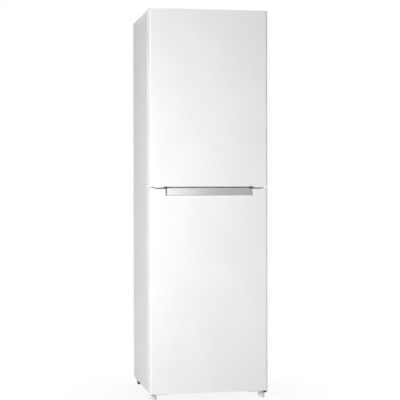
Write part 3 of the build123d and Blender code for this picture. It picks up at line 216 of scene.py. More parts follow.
@dataclass(frozen=True)
class Finish:
    """What a surface is made of and how it is finished, with the sizes of its pattern in metres."""

    name: str
    colour: Triple
    roughness: float

    def weave(self, shader: Shader) -> dict:
        """Adds the pattern of this finish, and gives the Principled shader's sockets."""
        raise NotImplementedError

    def toned(self, share: float) -> Triple:
        """The colour times a share, no lighter than white."""
        return tuple(min(1.0, channel * share) for channel in self.colour)

    @functools.cache
    def material(self) -> bpy.types.Material:
        """The finish's material, made once."""
        made = bpy.data.materials.new(self.name)
        made.use_nodes = True
        shader = Shader(made.node_tree)
        shader.close(self.weave(shader))
        return made


@dataclass(frozen=True)
class PaintedSteel(Finish):
    """Sheet steel with a sprayed or rolled coat."""

    peel_size: float
    peel_depth: float
    wave_depth: float
    wave_size: float = 0.16
    cloud_size: float = 0.22
    gloss_size: float = 0.012

    def weave(self, shader: Shader) -> dict:
        """Orange peel over slow waves of the sheet, with a trace of uneven gloss."""
        cloud = shader.noise(self.cloud_size, 3.0, 0.45)
        peel = shader.bump(shader.noise(self.peel_size, 2.0, 0.45), self.peel_depth)
        return {
            "Base Color": shader.tint(cloud.eased(0.35, 0.65), self.colour, self.toned(0.975)),
            "Roughness": self.roughness + (shader.noise(self.gloss_size, 3.0) - 0.5) * 0.08,
            "Normal": shader.bump(shader.noise(self.wave_size, 1.0, 0.3), self.wave_depth, peel),
            "Specular IOR Level": 0.5,
        }


@dataclass(frozen=True)
class LeatherSteel(Finish):
    """Sheet steel with a coat rolled to a fine leather grain, as on a cabinet's sides."""

    grain_size: float
    grain_depth: float
    cloud_size: float = 0.3

    def weave(self, shader: Shader) -> dict:
        """Small soft cells with creases between them, the creases darkened as painted shade over a tone that
        drifts at random.
        """
        cells = shader.cells(self.grain_size, "DISTANCE_TO_EDGE").eased(0.0, 0.32)
        creases = 1 - cells
        cloud = shader.noise(self.cloud_size, 3.0, 0.5)
        # Painted shade in the recessed creases, mixed with a random drift in tone.
        crease_shade_and_cloud = creases * 0.35 + cloud.eased(0.4, 0.7) * 0.4
        return {
            "Base Color": shader.tint(crease_shade_and_cloud, self.colour, self.toned(0.955)),
            "Roughness": self.roughness + creases * 0.12,
            "Normal": shader.bump(cells + shader.noise(self.grain_size * 0.3, 2.0) * 0.25, self.grain_depth),
            "Specular IOR Level": 0.4,
        }


@dataclass(frozen=True)
class MouldedPlastic(Finish):
    """Injection-moulded or thermoformed plastic."""

    grain_size: float
    grain_depth: float
    mottle: float = 0.03
    milky: float = 0.0
    cloud_size: float = 0.09

    def weave(self, shader: Shader) -> dict:
        """Fine spark grain, slow thickness mottling and a slightly uneven gloss."""
        cloud = shader.noise(self.cloud_size, 3.0, 0.5)
        grain = shader.noise(self.grain_size, 2.0, 0.55)
        dark = self.toned(1.0 - 2.0 * self.mottle)
        return {
            "Base Color": shader.tint(cloud.eased(0.3, 0.75), self.colour, dark),
            "Roughness": self.roughness + (grain - 0.5) * 0.12 + (cloud - 0.5) * 0.06,
            "Normal": shader.bump(grain, self.grain_depth),
            "Transmission Weight": self.milky,
            "IOR": 1.5,
        }


@dataclass(frozen=True)
class ClearPane(Finish):
    """Glass or clear moulded plastic."""

    index: float
    haze: float
    clearness: float = 1.0
    flow_size: float = 0.05
    flow_depth: float = 0.00004
    streak_size: float = 0.02

    def weave(self, shader: Shader) -> dict:
        """A clear body whose face carries faint flow lines and a few hazy streaks."""
        flow = shader.noise(self.flow_size, 2.0, 0.4, (1.0, 0.35, 1.0))
        streak = shader.noise(self.streak_size, 3.0, 0.6, (0.25, 1.0, 1.0))
        return {
            "Base Color": shader.tint(flow, self.colour, self.toned(0.97)),
            "Roughness": self.roughness + streak.eased(0.5, 0.8) * self.haze,
            "Normal": shader.bump(flow, self.flow_depth),
            "Transmission Weight": self.clearness,
            "IOR": self.index,
        }


@dataclass(frozen=True)
class PlatedSteel(Finish):
    """Zinc-plated sheet, with the spangle of its zinc and the fine lines of its rolling."""

    spangle: float
    contrast: float
    line_size: float = 0.0012
    line_depth: float = 0.00002
    bloom_size: float = 0.07

    def weave(self, shader: Shader) -> dict:
        """Crystals of slightly different tone under fine rolling lines."""
        crystal = shader.patches(self.spangle, (1.0, 1.0, 0.7))
        lines = shader.noise(self.line_size, 2.0, 0.6, (1.0, 1.0, 0.03))
        bloom = shader.noise(self.bloom_size, 4.0, 0.6)
        tone = crystal * 0.7 + lines * 0.3
        return {
            "Base Color": shader.tint(tone, self.toned(1.0 - self.contrast), self.toned(1.0 + self.contrast)),
            "Metallic": 0.9 - bloom.eased(0.55, 0.8) * 0.25,
            "Roughness": self.roughness + (crystal - 0.5) * 0.14 + bloom.eased(0.5, 0.8) * 0.15,
            "Normal": shader.bump(lines + crystal * 0.4, self.line_depth),
        }


@dataclass(frozen=True)
class DrawnMetal(Finish):
    """Bare metal that has dulled unevenly with handling and heat."""

    dulled: Triple
    patch: float
    line_stretch: Triple = EVEN
    line_size: float = 0.0009
    line_depth: float = 0.00003

    def weave(self, shader: Shader) -> dict:
        """Bright metal with cloudy dull patches and drawing lines."""
        patches = shader.noise(self.patch, 4.0, 0.6).eased(0.42, 0.68)
        lines = shader.noise(self.line_size, 2.0, 0.5, self.line_stretch)
        return {
            "Base Color": shader.tint(patches * 0.75, self.colour, self.dulled),
            "Metallic": 1.0 - patches * 0.15,
            "Roughness": self.roughness + patches * 0.2 + (lines - 0.5) * 0.1,
            "Normal": shader.bump(lines, self.line_depth),
        }


@dataclass(frozen=True)
class BakedEnamel(Finish):
    """A dipped or baked black coat, matt where dust has settled."""

    dust: float
    dust_size: float = 0.03
    dust_colour: Triple = (0.20, 0.19, 0.175)
    grit_size: float = 0.0016
    grit_depth: float = 0.00012

    def weave(self, shader: Shader) -> dict:
        """Fine grit in the coat, with dust on what faces up."""
        grit = shader.noise(self.grit_size, 3.0, 0.6)
        normal = shader.node("ShaderNodeNewGeometry").outputs["Normal"]
        up = shader.value("ShaderNodeSeparateXYZ", "Z", None, {"Vector": normal})
        drifts = shader.noise(self.dust_size, 4.0, 0.6).eased(0.3, 0.7)
        settled = (up.eased(0.3, 1.0) * drifts * self.dust).smaller(1.0)
        return {
            "Base Color": shader.tint(settled, self.colour, self.dust_colour),
            "Roughness": self.roughness + settled * 0.35 + (grit - 0.5) * 0.16,
            "Normal": shader.bump(grit, self.grit_depth),
        }


@dataclass(frozen=True)
class SoftRubber(Finish):
    """Extruded or moulded rubber."""

    line_size: float
    line_depth: float = 0.00008
    bloom_size: float = 0.03

    def weave(self, shader: Shader) -> dict:
        """Dull skin with faint extrusion lines and a chalky bloom."""
        bloom = shader.noise(self.bloom_size, 4.0, 0.6)
        lines = shader.noise(self.line_size, 2.0, 0.5)
        pale = tuple(channel + 0.006 for channel in self.toned(1.06))
        return {
            "Base Color": shader.tint(bloom.eased(0.4, 0.7), self.colour, pale),
            "Roughness": self.roughness + (lines - 0.5) * 0.12,
            "Normal": shader.bump(lines, self.line_depth),
            "Specular IOR Level": 0.3,
        }


@dataclass(frozen=True)
class RigidFoam(Finish):
    """Poured foam with a cellular cut face."""

    cell: float
    pit_depth: float = 0.0008
    drift_size: float = 0.08

    def weave(self, shader: Shader) -> dict:
        """Closed cells with darker pits and a warm drift in tone."""
        pits = shader.cells(self.cell).eased(0.15, 0.7)
        drift = shader.noise(self.drift_size, 4.0, 0.6).eased(0.4, 0.7)
        return {
            "Base Color": shader.tint(pits * 0.5 + drift * 0.4, self.colour, self.toned(0.78)),
            "Roughness": self.roughness + (pits - 0.5) * 0.1,
            "Normal": shader.bump(pits, self.pit_depth),
        }


@dataclass(frozen=True)
class SatinGrip(Finish):
    """Satin lacquer or bright plating on the hand hold, brushed along its length; in pure white it is the
    mirror strip that paints the lip's highlight.
    """

    brush: float = 0.0008
    brush_depth: float = 0.000002
    edge_low: float = 0.952
    edge_high: float = 0.963
    finger_size: float = 0.02

    def weave(self, shader: Shader) -> dict:
        """Fine lines along the plate, and dulling where fingers rest on its upper edge."""
        lines = shader.noise(self.brush, 3.0, 0.6, (0.02, 1.0, 1.0))
        fingers = shader.noise(self.finger_size, 3.0).eased(0.35, 0.7)
        handled = shader.along("Z").eased(self.edge_low, self.edge_high) * fingers
        return {
            "Base Color": shader.tint(lines * 0.6 + handled * 0.4, self.colour, self.toned(0.94)),
            "Metallic": 1.0,
            "Roughness": self.roughness + handled * 0.06 + (lines - 0.5) * 0.05,
            "Normal": shader.bump(lines, self.brush_depth),
        }


DOOR_WHITE = PaintedSteel("door_paint", (0.82, 0.818, 0.834), 0.30, 0.0022, 0.00003, 0.0004)
CABINET_WHITE = LeatherSteel("cabinet_paint", (0.80, 0.802, 0.80), 0.46, 0.0016, 0.00007)
LINER_WHITE = MouldedPlastic("liner_plastic", (0.80, 0.81, 0.815), 0.26, 0.0011, 0.00002, 0.012)
TRIM_WHITE = MouldedPlastic("white_plastic", (0.80, 0.80, 0.795), 0.36, 0.0007, 0.00003, 0.012)
FOOT_WHITE = MouldedPlastic("foot_plastic", (0.80, 0.80, 0.795), 0.42, 0.0006, 0.00004)
TRIM_GREY = MouldedPlastic("grey_plastic", (0.42, 0.43, 0.44), 0.40, 0.0007, 0.00004)
TRIM_BLACK = MouldedPlastic("black_plastic", (0.022, 0.022, 0.024), 0.42, 0.0008, 0.00006, 0.06)
DRAWER_MILK = MouldedPlastic("drawer_plastic", (0.82, 0.86, 0.88), 0.24, 0.0010, 0.00003, 0.015, 0.30)
DIAL_INK = MouldedPlastic("dial_print", (0.10, 0.11, 0.12), 0.45, 0.0006, 0.00001)
CLEAR_MOULDING = ClearPane("clear_plastic", (0.94, 0.965, 0.97), 0.05, 1.49, 0.12)
CRISPER_CLEAR = ClearPane("crisper_plastic", (0.90, 0.95, 0.955), 0.09, 1.49, 0.14, 0.92)
SHELF_GLASS = ClearPane("shelf_glass", (0.86, 0.955, 0.92), 0.02, 1.52, 0.05)
BULB_GLASS = ClearPane("bulb_glass", (0.96, 0.95, 0.92), 0.32, 1.45, 0.15, 0.85)
ZINC = PlatedSteel("zinc_steel", (0.56, 0.57, 0.585), 0.36, 0.014, 0.14)
BRACKET_ZINC = PlatedSteel("bracket_zinc", (0.60, 0.61, 0.62), 0.38, 0.006, 0.06)
SCREW_STEEL = DrawnMetal("screw_steel", (0.66, 0.66, 0.67), 0.28, (0.42, 0.40, 0.36), 0.006)
COPPER = DrawnMetal("copper", (0.80, 0.42, 0.27), 0.26, (0.40, 0.20, 0.12), 0.025)
ALUMINIUM = DrawnMetal(
    "evaporator_aluminium", (0.80, 0.81, 0.82), 0.36, (0.60, 0.61, 0.62), 0.06, (0.03, 1.0, 1.0)
)
ENAMEL = BakedEnamel("black_enamel", (0.016, 0.016, 0.017), 0.34, 0.5)
GASKET_GREY = SoftRubber("gasket_rubber", (0.62, 0.63, 0.64), 0.58, 0.002)
MOUNT_RUBBER = SoftRubber("mount_rubber", (0.028, 0.027, 0.026), 0.62, 0.0015)
FOAM = RigidFoam("foam", (0.80, 0.69, 0.42), 0.85, 0.0012)
GRIP_SILVER = SatinGrip("grip_metal", (0.405, 0.407, 0.412), 0.17)
# A pure white mirror, a painted highlight: it makes the rolled lip under the grip a bright line.
LIP_HIGHLIGHT = SatinGrip("lip_highlight_mirror", (1.0, 1.0, 1.0), 0.10)


# ======================= modelling tools =======================


class Start(Enum):
    """The primitive that a piece begins as."""

    BLOCK = "block"
    ROUND = "round"
    RING = "ring"


Test = Callable[[Vector, Vector], bool]

# From where a direction counts as square on, up to where as level, and how far off an axis as central.
SQUARE = 0.9
LEVEL = 0.1
CENTRAL = 0.001

# Width and rise of a small cap's rim, and the rounding of small and of fine edges, in metres.
RIM = (0.0012, 0.0006)
EDGE = 0.0008
FINE_EDGE = 0.0006

# Angle in radians from which an edge counts as sharp.
SHARP = 0.6


def looks(way: Triple) -> Test:
    """A test for a face that looks this way."""
    return lambda at, normal: normal.dot(Vector(way)) > SQUARE


faces_up, faces_down = looks((0, 0, 1)), looks((0, 0, -1))
faces_front, faces_back = looks((0, -1, 0)), looks((0, 1, 0))


def upright(at: Vector, direction: Vector) -> bool:
    """Whether an edge stands upright, or a face looks up or down."""
    return abs(direction.z) > SQUARE


def row(first: float, pitch: float, count: int) -> list[float]:
    """Places of what repeats along a line."""
    return [first + pitch * step for step in range(count)]


def deselect_all() -> None:
    """Leaves nothing selected and no object in edit mode."""
    if bpy.context.mode != "OBJECT":
        bpy.ops.object.mode_set(mode="OBJECT")
    bpy.ops.object.select_all(action="DESELECT")


def take(name: str) -> bpy.types.Object:
    """Names the object just added, and moves its place into its mesh."""
    made = bpy.context.active_object
    made.name = made.data.name = name
    bpy.ops.object.transform_apply(location=True, rotation=True, scale=True)
    return made


class Form:
    """A mesh that grows from a primitive, by edit-mode operators on what code picks."""

    def __init__(
        self, name: str, start: Start, middle: Triple, size: Triple | Pair,
        sides: int = 32, turn: Triple = UNTURNED,
    ) -> None:
        """Adds the primitive at its size and place.

        Args:
            name: The piece's name.
            start: Which primitive.
            middle: Its middle, in metres.
            size: Its size along each axis before it is turned, or a round one's width and length, or a
                ring's width and thickness.
            sides: Sides of a round one.
            turn: Rotation in radians.
        """
        deselect_all()
        where = {"location": middle, "rotation": turn}
        if start is Start.BLOCK:
            bpy.ops.mesh.primitive_cube_add(size=1.0, scale=size, **where)
        elif start is Start.ROUND:
            scale = (size[0], *size)
            bpy.ops.mesh.primitive_cylinder_add(vertices=sides, radius=0.5, depth=1.0, scale=scale, **where)
        else:
            radii = {"major_radius": (size[0] - size[1]) / 2, "minor_radius": size[1] / 2}
            bpy.ops.mesh.primitive_torus_add(major_segments=sides, minor_segments=10, **radii, **where)
        self.object = take(name)

    def select(self) -> None:
        """Makes this form's object the active one, and the only one selected."""
        deselect_all()
        bpy.context.view_layer.objects.active = self.object
        self.object.select_set(True)

    def pick(self, test: Test, edges: bool = False) -> "Form":
        """Selects the faces or edges that pass a test.

        Args:
            test: Gets the middle, and the normal of a face or the direction of an edge.
            edges: True for edges.

        Returns:
            This form.
        """
        mesh = self.object.data
        for group in (mesh.vertices, mesh.edges, mesh.polygons):
            group.foreach_set("select", [False] * len(group))
        if edges:
            for edge in mesh.edges:
                first, second = (mesh.vertices[number].co for number in edge.vertices)
                edge.select = test((first + second) / 2, (second - first).normalized())
        else:
            for face in mesh.polygons:
                face.select = test(face.center, face.normal)
        bpy.context.tool_settings.mesh_select_mode = (False, edges, not edges)
        return self

    def edit(self, operator: Callable, **settings: object) -> "Form":
        """Runs an operator in edit mode on what is picked.

        Args:
            operator: An operator of bpy.ops.
            settings: Its settings.

        Returns:
            This form.
        """
        self.select()
        bpy.ops.object.mode_set(mode="EDIT")
        operator(**settings)
        bpy.ops.object.mode_set(mode="OBJECT")
        return self

    def inset(self, width: float, depth: float = 0.0) -> "Form":
        """Insets the picked faces, and raises them by a depth."""
        return self.edit(bpy.ops.mesh.inset, thickness=width, depth=depth)

    def pull(self, by: Triple) -> "Form":
        """Extrudes the picked faces."""
        return self.edit(bpy.ops.mesh.extrude_region_move, TRANSFORM_OT_translate={"value": by})

    def scale(self, by: Triple, centre: Triple) -> "Form":
        """Resizes what is picked about a point."""
        return self.edit(bpy.ops.transform.resize, value=by, center_override=centre)

    def bevel(self, width: float, segments: int = 2) -> "Form":
        """Rounds the picked edges."""
        return self.edit(bpy.ops.mesh.bevel, offset=width, segments=segments, affect="EDGES")

    def subdivide(self, cuts: int) -> "Form":
        """Divides the picked edges by so many cuts."""
        return self.edit(bpy.ops.mesh.subdivide, number_cuts=cuts)

    def pierce(self, wall: float) -> "Form":
        """Opens a hole between the two picked faces, with a wall left round it."""
        return self.inset(wall).edit(bpy.ops.mesh.bridge_edge_loops)

    def soften(self, width: float, segments: int = 2) -> "Form":
        """Rounds every sharp edge, with a bevel modifier that is then applied.

        Args:
            width: How far the rounding reaches from the edge.
            segments: Faces across the rounding.

        Returns:
            This form.
        """
        modifier = self.object.modifiers.new("bevel", "BEVEL")
        modifier.width, modifier.segments = width, segments
        modifier.limit_method, modifier.angle_limit = "ANGLE", SHARP
        self.select()
        bpy.ops.object.modifier_apply(modifier=modifier.name)
        return self

    def copies(self, shifts: Iterable[Triple]) -> "Form":
        """Copies the form to each shift, each copy with its own mesh, and joins them into one piece.

        Args:
            shifts: How far each copy stands from the first place.

        Returns:
            This form, now all of them.
        """
        made = []
        for shift in shifts:
            twin = self.object.copy()
            twin.data = self.object.data.copy()
            bpy.context.scene.collection.objects.link(twin)
            twin.data.transform(Matrix.Translation(Vector(shift)))
            made.append(twin)
        first, name = self.object, self.object.name
        self.object = made[0]
        bpy.data.objects.remove(first)
        self.object.name = name
        return self.join(made[1:])

    def join(self, others: Iterable[bpy.types.Object]) -> "Form":
        """Joins other objects into this one.

        Args:
            others: The objects.

        Returns:
            This form.
        """
        self.select()
        for other in others:
            other.select_set(True)
        bpy.ops.object.join()
        return self

    def settle(self, body: str, finish: Finish, slot: str = "", smooth: float = 35.0) -> None:
        """Shades, dresses and mounts the finished piece.

        Args:
            body: The body that it rides on.
            finish: Its finish.
            slot: Not used; it names the record's material slot meant to give the finish, if not the one with
                its name.
            smooth: Angle in degrees under which edges are shaded smooth.
        """
        self.select()
        bpy.ops.object.shade_smooth_by_angle(angle=math.radians(smooth))
        self.object.data.materials.clear()
        self.object.data.materials.append(finish.material())
        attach(self.object, body)
        log.info("piece %s: %d faces", self.object.name, len(self.object.data.polygons))


def dress(finish: Finish, *names: str) -> None:
    """Gives CAD nodes a finish through their material slots.

    Args:
        finish: The finish.
        names: The nodes.
    """
    for name in names:
        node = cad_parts[name]
        if not node.material_slots:
            node.data.materials.append(None)
        for place in node.material_slots:
            place.material = finish.material()
        log.info("node %s: %s", name, finish.name)


# ======================= sub-assemblies, with sizes in metres =======================


@dataclass
class Cabinet:
    """Steel shell, foam, top cover, hinges and the base."""

    screw: Pair = (0.0085, 0.0024)
    screw_crown: float = 0.0006
    driver_lip: float = 0.0004
    driver_pit: Pair = (0.0005, -0.0012)
    screw_rows: int = 7
    panel_margin: float = 0.009
    row_margin: float = 0.012
    top_row: Triple = (-0.12, 0.0, 0.12)
    cross: Triple = (0.0052, 0.0006, 0.0012)
    hinge_columns: Pair = (0.2225, 0.1925)
    rail_z: float = 0.962
    bracket_z: float = 0.043
    plug: Pair = (0.0105, 0.0012)
    plug_crown: Pair = (0.0012, 0.0003)
    # Size, place, rounding and rim of the black cap that paints the shade under the lower door's corner.
    end_cap: Triple = (0.0130, 0.0190, 0.0066)
    end_cap_shift: Triple = (0.0042, 0.0070, 0.0006)
    end_cap_round: float = 0.004
    end_cap_rim: Pair = (0.0010, 0.0006)
    cap_width: float = 0.0222
    cap_height: float = 0.0112
    cap_inset: float = 0.0107
    cap_overhang: float = 0.004
    cap_drop: float = 0.0045
    cap_nose: float = 0.0105
    cap_corner: float = 0.006
    cap_rim: Pair = (0.0016, 0.0006)

    def build(self) -> None:
        """Dresses the shell and adds screws, plugs and the hinges' caps, with dark pieces of painted shade in
        the screws' crosses and under the lower hinge.
        """
        dress(CABINET_WHITE, "cabinet_side_left", "cabinet_side_right", "top_panel", "centre_rail")
        dress(ZINC, "back_panel", "base_plate", "compressor_bulkhead")
        dress(BRACKET_ZINC, "top_hinge", "middle_hinge", "bottom_hinge", "left_foot_bracket")
        dress(TRIM_WHITE, "top_cover")
        dress(FOAM, "cabinet_foam")
        dress(SCREW_STEEL, "hinge_screws")
        self.back_screws()
        self.recesses()
        self.plugs()
        self.hinge_cap()
        self.bracket_cap()

    def back_screws(self) -> None:
        """Pan-head screws with a driver recess around the back panel."""
        low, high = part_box("back_panel")
        y = high.y + self.screw[1] / 2
        screw = Form("back_panel_screws", Start.ROUND, (0, y, 0), self.screw, 16, ALONG_Y)
        screw.pick(faces_back).inset(*RIM).inset(self.screw_crown)
        screw.pick(lambda at, n: faces_back(at, n) and math.hypot(at.x, at.z) < CENTRAL)
        screw.inset(self.driver_lip).inset(*self.driver_pit)
        pitch = (high.z - low.z - 2 * self.row_margin) / (self.screw_rows - 1)
        side, heights = high.x - self.panel_margin, row(low.z + self.row_margin, pitch, self.screw_rows)
        places = [(s * side, 0, z) for z in heights for s in SIDES]
        places += [(x, 0, high.z - self.panel_margin) for x in self.top_row]
        screw.copies(places).settle("cabinet", SCREW_STEEL)

    def recesses(self) -> None:
        """Black crosses on the heads of the hinge screws, painted shade where their cross recess would lie.
        """
        middle = (0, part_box("hinge_screws")[0].y, 0)
        bars = (self.cross, self.cross[::-1])
        level, stood = (Form("hinge_screw_cross_shade", Start.BLOCK, middle, bar) for bar in bars)
        places = [(x, 0, self.rail_z) for x in self.hinge_columns]
        places += [(s * x, 0, self.bracket_z) for s in SIDES for x in self.hinge_columns]
        level.join([stood.object]).copies(places).settle("cabinet", TRIM_BLACK)

    def plugs(self) -> None:
        """Caps over the unused hinge holes in the centre rail, on the side without hinges."""
        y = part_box("centre_rail")[0].y - self.plug[1] / 2
        plug = Form("blanking_plugs", Start.ROUND, (0, y, 0), self.plug, turn=ALONG_Y)
        plug.pick(faces_front).inset(*RIM).inset(*self.plug_crown)
        plug.copies([(-x, 0, self.rail_z) for x in self.hinge_columns]).settle("cabinet", TRIM_WHITE)

    def bracket_cap(self) -> None:
        """Dark cap over the outer end of the lower hinge bracket, black to paint the shade under the door's
        corner.
        """
        low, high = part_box("bottom_hinge")
        middle = Vector((high.x, low.y, low.z)) + Vector(self.end_cap_shift)
        cap = Form("bracket_end_shade_cap", Start.BLOCK, middle, self.end_cap)
        cap.pick(lambda at, d: upright(at, d) and at.x > middle.x, edges=True).bevel(self.end_cap_round, 4)
        cap.pick(faces_down).inset(*self.end_cap_rim)
        cap.soften(FINE_EDGE).settle("cabinet", TRIM_BLACK)

    def hinge_cap(self) -> None:
        """Rounded cover over the arm of the top hinge."""
        low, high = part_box("top_hinge")
        front, rear = low.y - self.cap_overhang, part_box("top_cover")[0].y
        x, y = high.x - self.cap_inset, (front + rear) / 2
        z = high.z - self.cap_drop + self.cap_height / 2
        cap = Form("top_hinge_cap", Start.BLOCK, (x, y, z), (self.cap_width, rear - front, self.cap_height))
        cap.pick(lambda at, d: upright(at, d) and at.y < y, edges=True).bevel(self.cap_nose, 8)
        cap.pick(lambda at, d: upright(at, d) and at.y > rear - CENTRAL and at.x > x, edges=True)
        cap.bevel(self.cap_corner, 3)
        cap.pick(faces_up).inset(*self.cap_rim)
        cap.soften(EDGE).settle("cabinet", TRIM_WHITE)


@dataclass
class MachineBay:
    """Compressor, condenser and what stands in the bay at the rear."""

    compressor_middle: Pair = (0.070, 0.168)
    mount_spread: Pair = (0.080, 0.048)
    mount: Pair = (0.023, 0.013)
    mount_shoulder: Pair = (0.003, 0.0015)
    plate_top: float = 0.012
    nut: Pair = (0.013, 0.0058)
    nut_chamfer: Pair = (0.0008, 0.0004)
    washer: Pair = (0.019, 0.0015)
    washer_middle: float = 0.0008
    washer_edge: float = 0.0003
    stud_gap: float = 0.0022
    stud_end: float = 0.004
    stud_tip: Pair = (0.0005, 0.0003)
    pipe_end: Triple = (0.030, 0.241, 0.096)
    pipe: Pair = (0.0064, 0.022)
    pipe_neck: float = 0.004
    crimp: Triple = (1.5, 1.0, 0.3)
    crimp_length: float = 0.005
    clip_wire: float = 0.0022
    clip_shift: float = 0.0006
    clip_spare: Pair = (0.0008, 0.003)
    clip_corner: float = 0.005
    clip_wall: float = 0.0021

    def build(self) -> None:
        """Dresses the cooling circuit and adds mounts, nuts, the charge pipe and the box's clip."""
        dress(ZINC, "compressor_tray")
        dress(ENAMEL, "compressor", "condenser")
        dress(TRIM_BLACK, "terminal_box", "mains_inlet", "condensate_drain")
        dress(COPPER, "filter_drier", "refrigerant_pipes")
        dress(ALUMINIUM, "evaporators")
        dress(SCREW_STEEL, "roller_axles")
        self.mounts()
        self.nuts()
        self.charge_pipe()
        self.box_clip()

    def corners(self) -> list[Triple]:
        """Shifts to the four mounting places."""
        x, y = self.mount_spread
        return [(s * x, t * y, 0) for s in SIDES for t in SIDES]

    def mounts(self) -> None:
        """Round rubber mounts with a sloping shoulder, between the compressor's feet and the tray."""
        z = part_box("compressor")[0].z + self.mount[1] / 2
        mount = Form("compressor_mounts", Start.ROUND, (*self.compressor_middle, z), self.mount, 24)
        mount.pick(faces_up).inset(*self.mount_shoulder)
        mount.copies(self.corners()).settle("cabinet", MOUNT_RUBBER, "black_plastic")

    def nuts(self) -> None:
        """Washers, hexagon nuts and stud ends on the compressor's feet."""
        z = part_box("compressor")[0].z + self.plate_top
        x, y = self.compressor_middle
        nut_z = z + self.washer[1] + self.nut[1] / 2
        nut = Form("compressor_nuts", Start.ROUND, (x, y, nut_z), self.nut, 6)
        nut.pick(faces_up).inset(*self.nut_chamfer).inset(self.stud_gap).pull((0, 0, self.stud_end))
        nut.pick(lambda at, n: faces_up(at, n) and at.z > nut_z + self.nut[1]).inset(*self.stud_tip)
        washer = Form("washer", Start.ROUND, (x, y, z + self.washer_middle), self.washer, 24)
        washer.soften(self.washer_edge)
        nut.join([washer.object]).copies(self.corners()).settle("cabinet", SCREW_STEEL)

    def charge_pipe(self) -> None:
        """Copper charging stub with its end crimped flat."""
        x, y, z = self.pipe_end
        middle = (x, y - self.pipe_neck, z)
        stub = Form("compressor_charge_pipe", Start.ROUND, middle, self.pipe, 16, ALONG_Y)
        stub.pick(faces_back).pull((0, self.pipe_neck, 0)).scale(self.crimp, self.pipe_end)
        stub.pull((0, self.crimp_length, 0)).settle("cabinet", COPPER)

    def box_clip(self) -> None:
        """Spring wire that holds the terminal box."""
        low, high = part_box("terminal_box")
        x, spare = (low.x + high.x) / 2, self.clip_spare
        middle = (x + self.clip_shift, self.compressor_middle[1], (low.z + high.z) / 2)
        size = (high.x - low.x + spare[0], high.y - low.y + spare[1], self.clip_wire)
        wire = Form("terminal_box_clip", Start.BLOCK, middle, size)
        wire.pick(lambda at, d: upright(at, d) and at.x > x, edges=True).bevel(self.clip_corner, 4)
        wire.pick(upright).pierce(self.clip_wall)
        wire.soften(FINE_EDGE).settle("cabinet", SCREW_STEEL)


